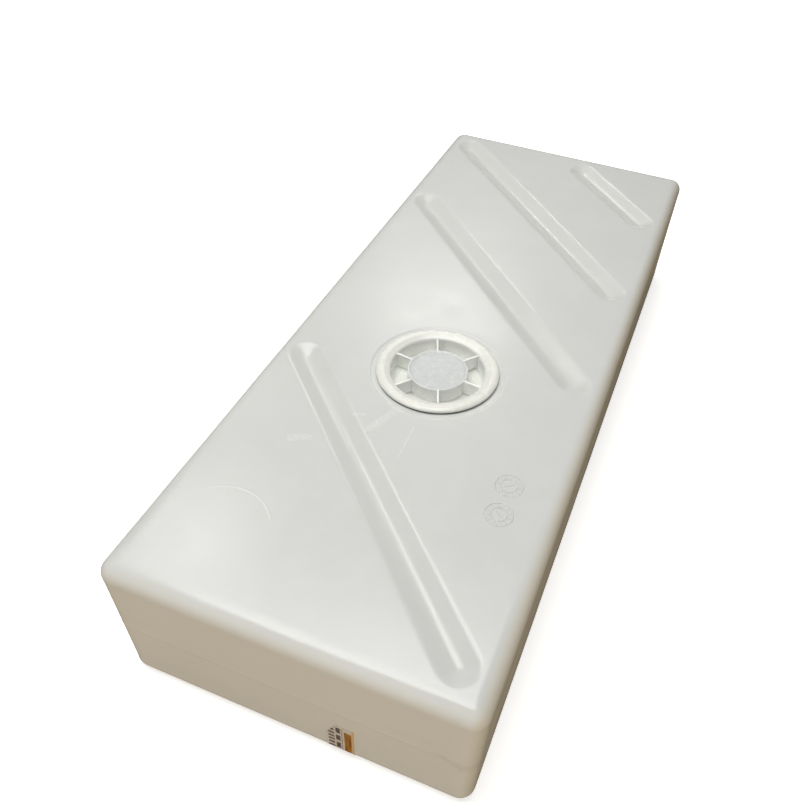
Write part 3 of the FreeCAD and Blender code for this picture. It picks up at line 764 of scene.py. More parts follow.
def side_levels(shape, low, high, middle):
    """Insets and heights down a side panel, with the thin bead of the mould's parting line."""
    inset = shape.panel_inset
    bead = [(-0.0022, 1), (-0.0012, 0.9), (-0.0005, 0), (0.0005, 0), (0.0012, 0.9), (0.0022, 1)]
    heights = [0.004, 0.009, 0.018, 0.032, 0.048, 0.064]
    lower = [(inset * min(1, height / 0.009), low + height) for height in heights]
    upper = [(share, high + low - height) for share, height in reversed(lower)]
    return lower + [(inset * share, middle + shift) for shift, share in bead] + upper


def connection_circles(wall_side):
    """Centre and radius of each connection's hole, or of its boss on the inner side."""
    circles = []
    for key in CONNECTIONS:
        low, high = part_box(key + "_insert")
        centre = (low + high) / 2
        radius = (high.x - low.x) / 2 + 0.00005
        circles.append((centre.x, centre.z, radius + (0.005 if wall_side == "inner" else 0)))
    return circles


def far_panel(draft, loops, far, inner):
    """Far end's panel, with the connections' holes."""
    grid = [[row[index] for index in far] for row in loops]
    outline = [(point[0], point[2]) for point in grid[0]]
    outline += [(row[-1][0], row[-1][2]) for row in grid[1:-1]]
    outline += [(point[0], point[2]) for point in reversed(grid[-1])]
    outline += [(row[0][0], row[0][2]) for row in reversed(grid[1:-1])]
    circles = connection_circles("inner" if inner else "outer")
    holes = [hole_at(*spot) for spot in circles]
    depths = {round(row[0][2], 6): row[0][1] for row in grid}
    heights = sorted(depths)
    face_y = max(depths.values())

    def away(x, z):
        return min(math.dist((x, z), spot[:2]) - spot[2] for spot in circles)

    def to_space(x, z):
        below = max([h for h in heights if h <= z + 1e-6] or [heights[0]])
        above = min([h for h in heights if h >= z - 1e-6] or [heights[-1]])
        share = 0 if above == below else (z - below) / (above - below)
        depth = depths[below] + (depths[above] - depths[below]) * share
        pad = min(1, max(0, (away(x, z) - 0.006) / 0.0015))
        return x, face_y + (depth - face_y) * pad, z

    filler = [(point[0], point[2]) for row in grid[1:-1] for point in row[1:-1]
              if away(point[0], point[2]) > 0.0095]
    for centre_x, centre_z, radius in circles:
        for grow in (0.003, 0.006, 0.0075):
            filler += [spot for spot in circle(centre_x, centre_z, radius + grow, 48)
                       if heights[0] + 0.0005 < spot[1] < heights[-1] - 0.0005]
    draft.patch(outline, holes, filler, to_space, inner)


def face_panel(draft, shape, anchors, height, top, dense, coarse, inner):
    """Top or underside panel; the top has the hatch's mouth and the shallow seat round it."""
    outline = []
    for x, y, dx, dy, side in anchors:
        if not outline or math.dist(outline[-1], (x, y)) > 1e-7:
            outline.append((x, y))
    half_x = max(point[0] for point in outline)
    half_y = max(point[1] for point in outline)
    holes = []
    rings = []
    keep = -1.0
    if top:
        holes = [hole_at(HATCH.x, HATCH.y, MOUTH_RADIUS)]
        seat = shape.seat_radius
        steps = (-0.008, 0.006) if inner else (-0.008, -0.003, -0.0012, -0.0004, 0.0004, 0.0012, 0.003, 0.008)
        rings = [spot for step in steps for spot in circle(HATCH.x, HATCH.y, seat + step, 128)]
        keep = seat + 0.011

    def keep_out(x, y):
        return math.dist((x, y), (HATCH.x, HATCH.y)) < keep

    def to_space(x, y):
        sunk = 0
        if top and not inner:
            sunk = min(1, max(0, 0.5 - (math.dist((x, y), (HATCH.x, HATCH.y)) - shape.seat_radius) / 0.0024))
            sunk = sunk * sunk * (3 - 2 * sunk) * shape.seat_depth
        return x, y, height - sunk

    filler = rings + panel_filler(half_x, half_y, shape, dense, coarse, keep_out)
    draft.patch(outline, holes, filler, to_space, inner)


def joining_tubes(draft, shape):
    """Edges of the hatch's mouth and of the connections' holes, with the bosses inside the far wall."""
    seat = TANK_HIGH.z - shape.seat_depth
    mouth = circle(HATCH.x, HATCH.y, MOUTH_RADIUS)
    draft.loops([[(x, y, height) for x, y in mouth] for height in (seat, TANK_HIGH.z - shape.wall)], True)
    wall_y = TANK_HIGH.y - shape.wall
    boss_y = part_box("inlet_insert")[0].y
    for outer, inner in zip(connection_circles("outer"), connection_circles("inner")):
        hole = circle(*outer)
        boss = circle(*inner)
        path = [(hole, TANK_HIGH.y), (hole, boss_y), (boss, boss_y), (boss, wall_y)]
        draft.loops([[(x, y, z) for x, z in ring] for ring, y in path], True)


def groove_rule(item, shape, material):
    """Presses the diagonal grooves into both faces and makes the panels a little uneven."""
    rule = Rule("stiffening_grooves")
    tree = rule.tree
    half = rule.size("Half width", shape.groove_half)
    foot = rule.size("Foot", shape.groove_foot)
    depth = rule.size("Depth", shape.groove_depth)
    soft = rule.size("Softness", shape.groove_soft)
    first = rule.size("First crossing", shape.groove_first)
    pitch = rule.size("Pitch", shape.groove_pitch)
    left_end = rule.size("Left end", TANK_LOW.x + shape.groove_left)
    right_end = rule.size("Right end", TANK_HIGH.x - shape.groove_right)
    far_end = rule.size("Far end", TANK_HIGH.y - shape.groove_far)
    rim = rule.size("Rim softness", shape.groove_rim)
    middle = rule.size("Middle height", (TANK_LOW.z + TANK_HIGH.z) / 2)
    wave = rule.size("Wave", shape.panel_wave)
    count = rule.size("Last groove", 4)
    hatch_groove = rule.size("Groove left out", 1)
    inner = add(tree, "GeometryNodeInputNamedAttribute", {"Name": "inner_skin"}, data_type="FLOAT")
    inner = inner.outputs["Attribute"]
    position = add(tree, "GeometryNodeInputPosition").outputs[0]
    spot = add(tree, "ShaderNodeSeparateXYZ", {0: position})
    x, y, z = spot.outputs[0], spot.outputs[1], spot.outputs[2]
    diagonal = sum_of(tree, "ADD", x, y)
    step = sum_of(tree, "ROUND", sum_of(tree, "DIVIDE", sum_of(tree, "SUBTRACT", diagonal, first), pitch))
    step = sum_of(tree, "MINIMUM", sum_of(tree, "MAXIMUM", step, 0.0), count)
    present = sum_of(tree, "SUBTRACT", 1.0, sum_of(tree, "COMPARE", step, hatch_groove, 0.1))
    crossing = sum_of(tree, "MULTIPLY_ADD", step, pitch, first)
    start = sum_of(tree, "MAXIMUM", left_end, sum_of(tree, "SUBTRACT", crossing, far_end))
    foot_x = sum_of(tree, "ADD", sum_of(tree, "SUBTRACT", x, y), crossing)
    foot_x = sum_of(tree, "MAXIMUM", sum_of(tree, "MULTIPLY", foot_x, 0.5), start)
    foot_x = sum_of(tree, "MINIMUM", foot_x, right_end)
    across_x = sum_of(tree, "SUBTRACT", x, foot_x)
    across_y = sum_of(tree, "SUBTRACT", y, sum_of(tree, "SUBTRACT", crossing, foot_x))
    gap = sum_of(tree, "MULTIPLY", across_x, across_x)
    gap = sum_of(tree, "SQRT", sum_of(tree, "MULTIPLY_ADD", across_y, across_y, gap))
    slope = sum_of(tree, "DIVIDE", sum_of(tree, "SUBTRACT", half, foot), depth)
    climb = sum_of(tree, "SQRT", sum_of(tree, "MULTIPLY_ADD", slope, slope, 1.0))
    shift = sum_of(tree, "MULTIPLY", sum_of(tree, "SUBTRACT", climb, slope), inner)
    room = sum_of(tree, "ADD", sum_of(tree, "SUBTRACT", half, gap), shift)
    sunk = sum_of(tree, "SMOOTH_MAX", sum_of(tree, "DIVIDE", room, slope), 0.0, rim)
    sunk = sum_of(tree, "SMOOTH_MIN", sunk, depth, soft)
    sunk = sum_of(tree, "MULTIPLY", sum_of(tree, "MAXIMUM", sunk, 0.0), present)
    side = sum_of(tree, "SIGN", sum_of(tree, "SUBTRACT", middle, z))
    press = add(tree, "ShaderNodeCombineXYZ", {2: sum_of(tree, "MULTIPLY", sunk, side)}).outputs[0]
    rough = add(tree, "ShaderNodeTexNoise", {"Vector": position, "Scale": 9.0, "Detail": 1.0}).outputs["Fac"]
    outer = sum_of(tree, "LESS_THAN", inner, 1e-6)
    swell = sum_of(tree, "MULTIPLY", sum_of(tree, "SUBTRACT", rough, 0.85), wave)
    swell = sum_of(tree, "MINIMUM", sum_of(tree, "MULTIPLY", swell, outer), 0.0)
    normal = add(tree, "GeometryNodeInputNormal").outputs[0]
    dent = add(tree, "ShaderNodeVectorMath", {0: normal, "Scale": swell}, operation="SCALE").outputs[0]
    move = add(tree, "ShaderNodeVectorMath", {0: press, 1: dent}, operation="ADD").outputs[0]
    pressed = add(tree, "GeometryNodeSetPosition", {"Geometry": rule.geometry(), "Offset": move})
    return rule.apply(item, pressed.outputs[0], material)


def build_shell(shape, material):
    draft = ShellDraft()
    main_skin(draft, shape, 0.0, 0.005, 0.003, 0.008, False)
    main_skin(draft, shape, shape.wall, 0.014, 0.009, 0.016, True)
    joining_tubes(draft, shape)
    shell = link_mesh("vessel_shell", draft.verts, draft.faces)
    marker = shell.data.attributes.new("inner_skin", "FLOAT", "POINT")
    marker.data.foreach_set("value", [shape.wall if inner else 0.0 for inner in draft.inner])
    weld(shell)
    groove_rule(shell, shape, material)
    return smooth(shell, 50)


# ---------------------------------------------------------------- the hatch's lid

def rounded(corners, steps=5):
    """Outline with each corner rounded: corners are (radius, height, rounding)."""
    points = []
    count = len(corners)
    for index, (x, z, size) in enumerate(corners):
        here = Vector((x, z))
        if size == 0:
            points.append(here)
            continue
        back = Vector(corners[index - 1][:2]) - here
        ahead = Vector(corners[(index + 1) % count][:2]) - here
        cut = min(size, back.length * 0.49, ahead.length * 0.49)
        first = here + back.normalized() * cut
        last = here + ahead.normalized() * cut
        for step in range(steps + 1):
            share = step / steps
            points.append(first * (1 - share) ** 2 + here * 2 * share * (1 - share) + last * share ** 2)
    return points


def flat_limit(across, turn):
    """Radius of a hexagon of a given width in one direction."""
    return across / 2 / math.cos((turn + math.pi / 6) % (math.pi / 3) - math.pi / 6)


def hexagon_outline(across, low, high):
    """Outline of a hexagon's corner, bevelled towards both of its faces."""
    corner = across / math.sqrt(3)
    bevel = across * 0.045
    steps = [(across / 2 + (corner - across / 2) * share / 4, bevel * share / 4) for share in range(5)]
    return ([(radius, low + height, 0) for radius, height in steps]
            + [(radius, high - height, 0) for radius, height in reversed(steps)])


def turned(name, outline, place, count=128, across=0, high=0):
    """Closed solid of revolution from a closed outline; it has spanner flats up to a height, if given."""
    verts = []
    faces = []
    size = len(outline)
    for turn in range(count):
        angle = 2 * math.pi * turn / count
        for point in outline:
            radius = point.x
            if across and -1e-6 < point.y < high + 1e-6:
                radius = min(radius, flat_limit(across, angle))
            verts.append(place @ Vector((radius * math.cos(angle), radius * math.sin(angle), point.y)))
    for turn in range(count):
        after = (turn + 1) % count
        for index in range(size):
            follow = (index + 1) % size
            if outline[index].x < 1e-9 and outline[follow].x < 1e-9:
                continue
            faces.append((turn * size + index, after * size + index, after * size + follow,
                          turn * size + follow))
    item = link_mesh(name, verts, faces)
    weld(item)
    work = bmesh.new()
    work.from_mesh(item.data)
    bmesh.ops.dissolve_degenerate(work, dist=1e-7, edges=work.edges)
    work.to_mesh(item.data)
    work.free()
    return item


def build_lid_cup(lid):
    """Crowned flange, cup and raised hub in one turned piece."""
    outer = (LID_HIGH.x - LID_LOW.x) / 2
    crown = LID_HIGH.z - GASKET_HIGH.z
    floor = lid.floor - lid.depth
    skin = 0.0022
    corners = [
        (0, lid.hub_rise - lid.hub_dish, 0),
        (lid.hub * 0.6, lid.hub_rise - lid.hub_dish, 0.006),
        (lid.hub - 0.0034, lid.hub_rise - lid.hub_dish * 0.9, 0.0014),
        (lid.hub - 0.0022, lid.hub_rise, 0.0006),
        (lid.hub, lid.hub_rise, 0.0008),
        (lid.hub + 0.0002, floor, 0.0022),
        (lid.rim - 0.0006, floor, 0.003),
        (lid.rim, crown - 0.0050, 0.002),
        (lid.rim + 0.0012, crown - 0.0028, 0.0014),
        (lid.rim + 0.0052, crown - 0.0014, 0.002),
        (lid.rim + 0.0078, crown, 0.0018),
        (outer - 0.0040, crown, 0.003),
        (outer - 0.0006, crown - 0.0020, 0.0014),
        (outer, 0, 0.0004),
        (lid.skirt, 0, 0.0006),
        (lid.skirt, -lid.depth, 0.0008),
        (lid.hub - skin, -lid.depth, 0.0006),
        (lid.hub - skin, lid.hub_rise - lid.hub_dish - skin, 0.002),
        (0, lid.hub_rise - lid.hub_dish - skin, 0),
    ]
    place = Matrix.Translation((HATCH.x, HATCH.y, GASKET_HIGH.z))
    return smooth(turned("lid_cup", rounded(corners), place, 160), 40)


def build_lid_webs(lid, material):
    """Webs between the hub and the rim, set round the hub by a rule."""
    item = link_mesh("lid_webs", [(0, 0, 0)], [])
    rule = Rule("lid_webs")
    tree = rule.tree
    count = rule.size("Webs", lid.web_count)
    thick = rule.size("Thickness", lid.web)
    inner = rule.size("Inner radius", lid.hub - 0.0008)
    outer = rule.size("Outer radius", lid.rim + 0.0008)
    foot = rule.size("Foot", lid.floor - lid.depth - 0.0005)
    head = rule.size("Head", lid.hub_rise - 0.0001)
    turn = rule.size("Turn", lid.web_turn)
    bevel = rule.size("Edge", 0.0005)
    length = sum_of(tree, "SUBTRACT", outer, inner)
    height = sum_of(tree, "SUBTRACT", head, foot)
    half = sum_of(tree, "MULTIPLY", thick, 0.5)
    corner = add(tree, "ShaderNodeCombineXYZ", {0: length, 1: thick, 2: height})
    slab = add(tree, "GeometryNodeMeshCube", {"Size": corner.outputs[0], "Vertices X": 9, "Vertices Y": 7,
                                              "Vertices Z": 12})
    position = add(tree, "GeometryNodeInputPosition").outputs[0]
    spot = add(tree, "ShaderNodeSeparateXYZ", {0: position})
    up = sum_of(tree, "DIVIDE", spot.outputs[2], height)
    crest = sum_of(tree, "MULTIPLY", sum_of(tree, "SUBTRACT", up, 0.42), 12.5)
    crest = sum_of(tree, "MAXIMUM", crest, 0.0)
    side = sum_of(tree, "DIVIDE", spot.outputs[1], half)
    fall = sum_of(tree, "MULTIPLY", sum_of(tree, "MULTIPLY", side, side), crest)
    fall = sum_of(tree, "MULTIPLY", fall, bevel)
    draft = sum_of(tree, "MULTIPLY", sum_of(tree, "SUBTRACT", 0.5, up), 0.18)
    widen = sum_of(tree, "MULTIPLY", spot.outputs[1], draft)
    offset = add(tree, "ShaderNodeCombineXYZ", {1: widen, 2: sum_of(tree, "MULTIPLY", fall, -1.0)})
    shaped = add(tree, "GeometryNodeSetPosition", {"Geometry": slab.outputs["Mesh"],
                                                   "Offset": offset.outputs[0]})
    middle = sum_of(tree, "MULTIPLY", sum_of(tree, "ADD", inner, outer), 0.5)
    level = sum_of(tree, "MULTIPLY", sum_of(tree, "ADD", foot, head), 0.5)
    set_out = add(tree, "ShaderNodeCombineXYZ", {0: middle, 2: level})
    shaped = add(tree, "GeometryNodeTransform", {"Geometry": shaped.outputs[0],
                                                 "Translation": set_out.outputs[0]})
    points = add(tree, "GeometryNodePoints", {"Count": count})
    index = add(tree, "GeometryNodeInputIndex").outputs[0]
    share = sum_of(tree, "DIVIDE", sum_of(tree, "MULTIPLY", index, 2 * math.pi), count)
    angle = add(tree, "ShaderNodeCombineXYZ", {2: sum_of(tree, "ADD", share, turn)})
    placed = add(tree, "GeometryNodeInstanceOnPoints", {"Points": points.outputs[0],
                                                        "Instance": shaped.outputs[0],
                                                        "Rotation": angle.outputs[0]})
    rule.apply(item, placed.outputs[0], material)
    item.data.transform(Matrix.Translation((HATCH.x, HATCH.y, GASKET_HIGH.z)))
    return smooth(item, 50)


def build_lid_thread(lid):
    """Two turns of the lid's screw ridge, tapering away at both ends."""
    verts = []
    faces = []
    turns, steps = 2, 96
    start = -0.0195
    section = [(-0.0006, -0.0015), (0.0018, -0.00085), (0.0020, -0.0006), (0.0020, 0.0006),
               (0.0018, 0.00085), (-0.0006, 0.0015)]
    size = len(section)
    count = turns * steps
    for step in range(count + 1):
        angle = 2 * math.pi * step / steps + lid.web_turn
        fade = min(1, step / 10, (count - step) / 10)
        for out, up in section:
            radius = lid.skirt - 0.0006 + (out + 0.0006) * max(fade, 0.02)
            verts.append((HATCH.x + radius * math.cos(angle), HATCH.y + radius * math.sin(angle),
                          GASKET_HIGH.z + start + up + lid.pitch * step / steps))
    for step in range(count):
        for index in range(size):
            after = (index + 1) % size
            faces.append((step * size + index, (step + 1) * size + index, (step + 1) * size + after,
                          step * size + after))
    faces.append(tuple(range(size)))
    faces.append(tuple(count * size + index for index in reversed(range(size))))
    return smooth(weld(link_mesh("lid_thread", verts, faces), 1e-7), 40)


# ---------------------------------------------------------------- marks and label

def on_surface(item, shell, level):
    """Lay a flat item on the shell, wherever the shell's top really is."""
    for vert in item.data.vertices:
        hit, spot, _, _ = shell.ray_cast(Vector((vert.co.x, vert.co.y, level + 0.02)), Vector((0, 0, -1)))
        if hit:
            vert.co.z += spot.z - level
    return item


def build_dials(marks, material, shell):
    """Two moulded date dials: rings, ticks between them and a pointer."""
    level = TANK_HIGH.z
    item = link_mesh("date_dials", [(0.136, -0.250, level), (0.138, -0.291, level)], [])
    rule = Rule("date_dials")
    tree = rule.tree
    ring = rule.size("Ring", marks.dial)
    inner = rule.size("Inner ring", marks.dial_inner)
    line = rule.size("Line", marks.dial_line)
    ticks = rule.size("Ticks", marks.dial_ticks)
    bead = add(tree, "GeometryNodeCurvePrimitiveCircle", {"Resolution": 8, "Radius": line})
    pieces = []
    for radius in (ring, inner):
        loop = add(tree, "GeometryNodeCurvePrimitiveCircle", {"Resolution": 96, "Radius": radius})
        pieces.append(add(tree, "GeometryNodeCurveToMesh", {"Curve": loop.outputs[0],
                                                            "Profile Curve": bead.outputs[0]}).outputs[0])
    middle = sum_of(tree, "MULTIPLY", sum_of(tree, "ADD", ring, inner), 0.5)
    width = sum_of(tree, "MULTIPLY", line, 2.0)
    tick_size = add(tree, "ShaderNodeCombineXYZ", {0: sum_of(tree, "MULTIPLY", line, 5.0), 1: width, 2: line})
    tick = add(tree, "GeometryNodeMeshCube", {"Size": tick_size.outputs[0], "Vertices X": 4, "Vertices Y": 3,
                                              "Vertices Z": 2})
    out = add(tree, "ShaderNodeCombineXYZ", {0: middle})
    tick = add(tree, "GeometryNodeTransform", {"Geometry": tick.outputs["Mesh"],
                                               "Translation": out.outputs[0]})
    points = add(tree, "GeometryNodePoints", {"Count": ticks})
    index = add(tree, "GeometryNodeInputIndex").outputs[0]
    share = sum_of(tree, "DIVIDE", sum_of(tree, "MULTIPLY", index, 2 * math.pi), ticks)
    angle = add(tree, "ShaderNodeCombineXYZ", {2: share})
    pieces.append(add(tree, "GeometryNodeInstanceOnPoints", {
        "Points": points.outputs[0], "Instance": tick.outputs[0], "Rotation": angle.outputs[0]}).outputs[0])
    pointer_size = add(tree, "ShaderNodeCombineXYZ", {0: sum_of(tree, "MULTIPLY", inner, 1.3), 1: width,
                                                      2: line})
    pointer = add(tree, "GeometryNodeMeshCube", {"Size": pointer_size.outputs[0], "Vertices X": 8,
                                                 "Vertices Y": 3, "Vertices Z": 2})
    pieces.append(pointer.outputs["Mesh"])
    joined = add(tree, "GeometryNodeJoinGeometry")
    for piece in pieces:
        tree.links.new(piece, joined.inputs[0])
    real = add(tree, "GeometryNodeRealizeInstances", {"Geometry": joined.outputs[0]})
    flat = add(tree, "GeometryNodeTransform", {"Geometry": real.outputs[0], "Scale": (1, 1, 0.6)})
    place = add(tree, "GeometryNodeInputIndex").outputs[0]
    turn = add(tree, "ShaderNodeCombineXYZ", {2: sum_of(tree, "MULTIPLY_ADD", place, 1.9, 0.6)})
    dials = add(tree, "GeometryNodeInstanceOnPoints", {"Points": rule.geometry(), "Instance": flat.outputs[0],
                                                       "Rotation": turn.outputs[0]})
    rule.apply(item, dials.outputs[0], material)
    return smooth(on_surface(item, shell, level), 50)


def build_label(shape, marks):
    """Paper strip that follows the front face and its lower edge, worn away at one upper corner."""
    columns, rows = 30, 44
    left, width = LABEL_LOW.x, LABEL_HIGH.x - LABEL_LOW.x
    size = shape.edge_round
    bend = size * marks.label_wrap
    total = bend + LABEL_HIGH.z - size
    front = LABEL_LOW.y + 0.0003
    torn_width = 0.36

    def spot(x, along, out):
        if along < bend:
            angle = marks.label_wrap - along / size
            reach = size + out
            return (x, front + size - reach * math.cos(angle), size - reach * math.sin(angle))
        height = size + along - bend
        sunk = shape.panel_inset * min(1, (height - size) / 0.009)
        return (x, front + sunk - out, height)

    verts, faces, maps = [], [], []
    for out in (0.00022, -0.0006):
        for column in range(columns + 1):
            across = column / columns
            top = total - marks.label_torn * max(0, 1 - across / torn_width) - 0.001
            if across < torn_width:
                top += 0.0006 * math.sin(across * 40) + 0.0004 * math.sin(across * 93)
            for row in range(rows + 1):
                along = top * row / rows
                verts.append(spot(left + width * across, along, out))
                maps.append((across, along / total))
    line = rows + 1
    layer = line * (columns + 1)
    for column in range(columns):
        for row in range(rows):
            a = column * line + row
            quad = (a, a + line, a + line + 1, a + 1)
            faces += [quad, tuple(layer + i for i in reversed(quad))]
    rim = [row for row in range(line)] + [column * line + rows for column in range(1, columns + 1)]
    rim += [columns * line + row for row in range(rows - 1, -1, -1)]
    rim += [column * line for column in range(columns - 1, 0, -1)]
    for here, after in zip(rim, rim[1:] + rim[:1]):
        faces.append((here, after, layer + after, layer + here))
    item = link_mesh("print_label", verts, faces)
    chart = item.data.uv_layers.new(name="print")
    for loop in item.data.loops:
        chart.data[loop.index].uv = maps[loop.vertex_index]
    weld(item, 1e-7)
    return smooth(item, 40)


# ---------------------------------------------------------------- connections and drain cock

HOSE_TAILS = {
    # thread, bore, tail, barb (radii), across the flats, reach
    "inlet": (0.0219, 0.016, 0.019, 0, 0.050, 0.050),
    "vent": (0.0079, 0.004, 0.006, 0.0068, 0.022, 0.036),
    "outlet": (0.0119, 0.0075, 0.010, 0.011, 0.030, 0.044),
}


def axis_of(key, out=0.0):
    """Matrix from a fitting's own axis to its place on the far wall."""
    low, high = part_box(key + "_insert")
    centre = (low + high) / 2
    return Matrix.Translation((centre.x, TANK_HIGH.y + out, centre.z)) @ INWARDS


def tail_outline(bore, tail, barb, start, reach, fitting):
    """Outside of a hose tail from its flats to its tip, with rounded barbs or plain."""
    points = [(tail, start, 0.0008)]
    if barb:
        pitch = (reach - fitting.neck) / fitting.barb_count
        for index in range(fitting.barb_count):
            root = start + fitting.neck + index * pitch
            points.append((tail, root, 0.0002))
            points.append((barb, root + 0.0003, 0.0002))
            points.append((barb, root + 0.0013, 0.0005))
    end = start + reach
    points.append((tail - 0.0001, end - 0.0007, 0.0005))
    points.append((tail - 0.0006, end, 0.0004))
    points.append((bore, end, 0.0005))
    return points


def build_hose_tail(key, name, fitting):
    thread, bore, tail, barb, across, reach = HOSE_TAILS[key]
    inside = TANK_HIGH.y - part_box(name)[0].y + fitting.washer
    outline = [(bore, -inside, 0.0004), (thread, -inside, 0.0008), (thread, 0, 0)]
    outline += hexagon_outline(across, 0, fitting.flats)
    outline += tail_outline(bore, tail, barb, fitting.flats, reach, fitting)
    return smooth(turned(key + "_hose_tail", rounded(outline), axis_of(key, fitting.washer), 96, across,
                         fitting.flats), 32)


def build_drain_tail(fitting):
    """Cap of the cock with its barbed tail."""
    across, half = 0.024, fitting.flats / 2
    outline = [(0.005, -0.008, 0.0004), (0.0101, -0.008, 0.0005), (0.0101, 0, 0)]
    outline += hexagon_outline(across, 0, half)
    outline += tail_outline(0.005, 0.007, 0.0078, half, 0.030, fitting)
    place = axis_of("drain", fitting.washer + fitting.cock_length)
    return smooth(turned("drain_hose_tail", rounded(outline), place, 96, across, half), 32)


def build_washer(key, fitting):
    """Sealing ring between the far wall and a fitting's flats."""
    low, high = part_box(key + "_washer")
    outer = (high.x - low.x) / 2
    inner = outer - 0.0039
    outline = [(inner, 0, 0.0004), (outer, 0, 0.0006), (outer, fitting.washer, 0.0006),
               (inner, fitting.washer, 0.0004)]
    return smooth(turned(key + "_seal", rounded(outline), axis_of(key), 96), 50)


def lever_outline(fitting):
    """Outline of the lever round its eye, along its blade and round its tip, each point with its facing."""
    half = fitting.lever_width / 2
    meet = math.pi - math.asin(half / fitting.lever_eye)
    run = fitting.lever_length - 0.005
    outline = []
    for step in range(41):
        turn = -meet + 2 * meet * step / 40
        outline.append((fitting.lever_eye * math.cos(turn), fitting.lever_eye * math.sin(turn), turn))
    blade = [-fitting.lever_eye * 0.62 - run * step / 20 for step in range(1, 20)]
    outline += [(x, half, math.pi / 2) for x in blade]
    for step in range(25):
        turn = math.pi / 2 + math.pi * step / 24
        outline.append((-fitting.lever_length + half * math.cos(turn), half * math.sin(turn), turn))
    outline += [(x, -half, -math.pi / 2) for x in reversed(blade)]
    return outline


def build_lever(fitting):
    """Flat lever with rounded edges and an eye for the stem."""
    low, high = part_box("drain_lever")
    centre = Vector((high.x - fitting.lever_eye, (low.y + high.y) / 2, low.z))
    thick = high.z - low.z
    outline = lever_outline(fitting)
    count = len(outline)
    edge = 0.0009
    edges = []
    for step in range(5):
        angle = math.radians(90 * step / 4)
        edges.append((edge * (1 - math.cos(angle)), edge * (1 - math.sin(angle))))
    levels = edges + [(thick - height, inset) for height, inset in reversed(edges)]
    rows = [[(x - inset * math.cos(turn), y - inset * math.sin(turn), height) for x, y, turn in outline]
            for height, inset in levels]
    hole_turns = [math.atan2(y, x) for x, y, turn in outline]
    rim = [(fitting.stem * math.cos(turn), fitting.stem * math.sin(turn)) for turn in hole_turns]
    rows += [[(x, y, height) for x, y in rim] for height in (thick, 0.0)]
    verts = [(centre.x + x, centre.y + y, centre.z + z) for row in rows for x, y, z in row]
    faces = []
    for row in range(len(rows)):
        below = (row + 1) % len(rows)
        for index in range(count):
            after = (index + 1) % count
            faces.append((row * count + index, row * count + after, below * count + after,
                          below * count + index))
    return smooth(weld(link_mesh("cock_lever", verts, faces), 1e-7), 40)


def build_lever_nut(fitting):
    low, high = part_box("lever_nut")
    centre = (low + high) / 2
    thick = high.z - low.z
    outline = [(fitting.nut_hole, 0, 0.0003)] + hexagon_outline(fitting.nut_flats, 0, thick)
    outline.append((fitting.nut_hole, thick, 0.0003))
    place = Matrix.Translation((centre.x, centre.y, low.z))
    return smooth(turned("lever_lock_nut", rounded(outline), place, 96, fitting.nut_flats, thick), 32)


# ---------------------------------------------------------------- operators

def coat(material, *nodes):
    """Give CAD nodes that stay visible their material."""
    for name in nodes:
        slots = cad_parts[name].data.materials
        slots.clear()
        slots.append(material)



class VESSEL_OT_shell(bpy.types.Operator):
    """Mould the tank: its hollow shell, grooves, hatch seat and bosses"""

    bl_idname = "vessel.shell"
    bl_label = "Tank shell"

    def execute(self, context):
        scene = context.scene
        plastic = tank_plastic(scene.vessel_finish.tank)
        shell = build_shell(scene.vessel_shape, plastic)
        settle(shell, plastic, "tank", "tank_polyethylene", "tank_shell")
        coat(plastic, "hatch_collar")
        return {"FINISHED"}


class VESSEL_OT_marks(bpy.types.Operator):
    """Add the moulded date dials and the worn paper label"""

    bl_idname = "vessel.marks"
    bl_label = "Marks and label"

    def execute(self, context):
        scene = context.scene
        shell = bpy.data.objects["vessel_shell"]
        plastic = shell.data.materials[0]
        dials = build_dials(scene.vessel_marks, plastic, shell)
        settle(dials, plastic, "tank", "tank_polyethylene")
        label = build_label(scene.vessel_shape, scene.vessel_marks)
        settle(label, label_paper(scene.vessel_finish.stripe), "tank", "label_paper", "label")
        return {"FINISHED"}


class VESSEL_OT_lid(bpy.types.Operator):
    """Make the screw-in lid: flange, cup, hub, webs and thread"""

    bl_idname = "vessel.lid"
    bl_label = "Inspection lid"

    def execute(self, context):
        lid = context.scene.vessel_lid
        plastic = lid_plastic(context.scene.vessel_finish.lid)
        settle(build_lid_cup(lid), plastic, "lid", "lid_plastic", "hatch_lid")
        settle(build_lid_webs(lid, plastic), plastic, "lid", "lid_plastic")
        settle(build_lid_thread(lid), plastic, "lid", "lid_plastic")
        return {"FINISHED"}


class VESSEL_OT_connections(bpy.types.Operator):
    """Make the four connections in the far wall: inserts, washers and hose tails"""

    bl_idname = "vessel.connections"
    bl_label = "Hose connections"

    def execute(self, context):
        scene = context.scene
        fitting = scene.vessel_fittings
        rubber = seal_rubber(scene.vessel_finish.rubber)
        nylon = hose_nylon(scene.vessel_finish.nylon)
        brass = machined_metal("insert_brass", (0.62, 0.42, 0.17), (0.42, 0.27, 0.11), 0.32, (40, 900, 40))
        coat(rubber, "hatch_gasket")
        for key in CONNECTIONS:
            coat(brass, key + "_insert")
            settle(build_washer(key, fitting), rubber, "tank", "gasket_rubber", key + "_washer")
        for key, name in (("inlet", "inlet_spigot"), ("vent", "vent_tail"), ("outlet", "outlet_tail")):
            settle(build_hose_tail(key, name, fitting), nylon, "tank", "fitting_nylon", name)
        return {"FINISHED"}


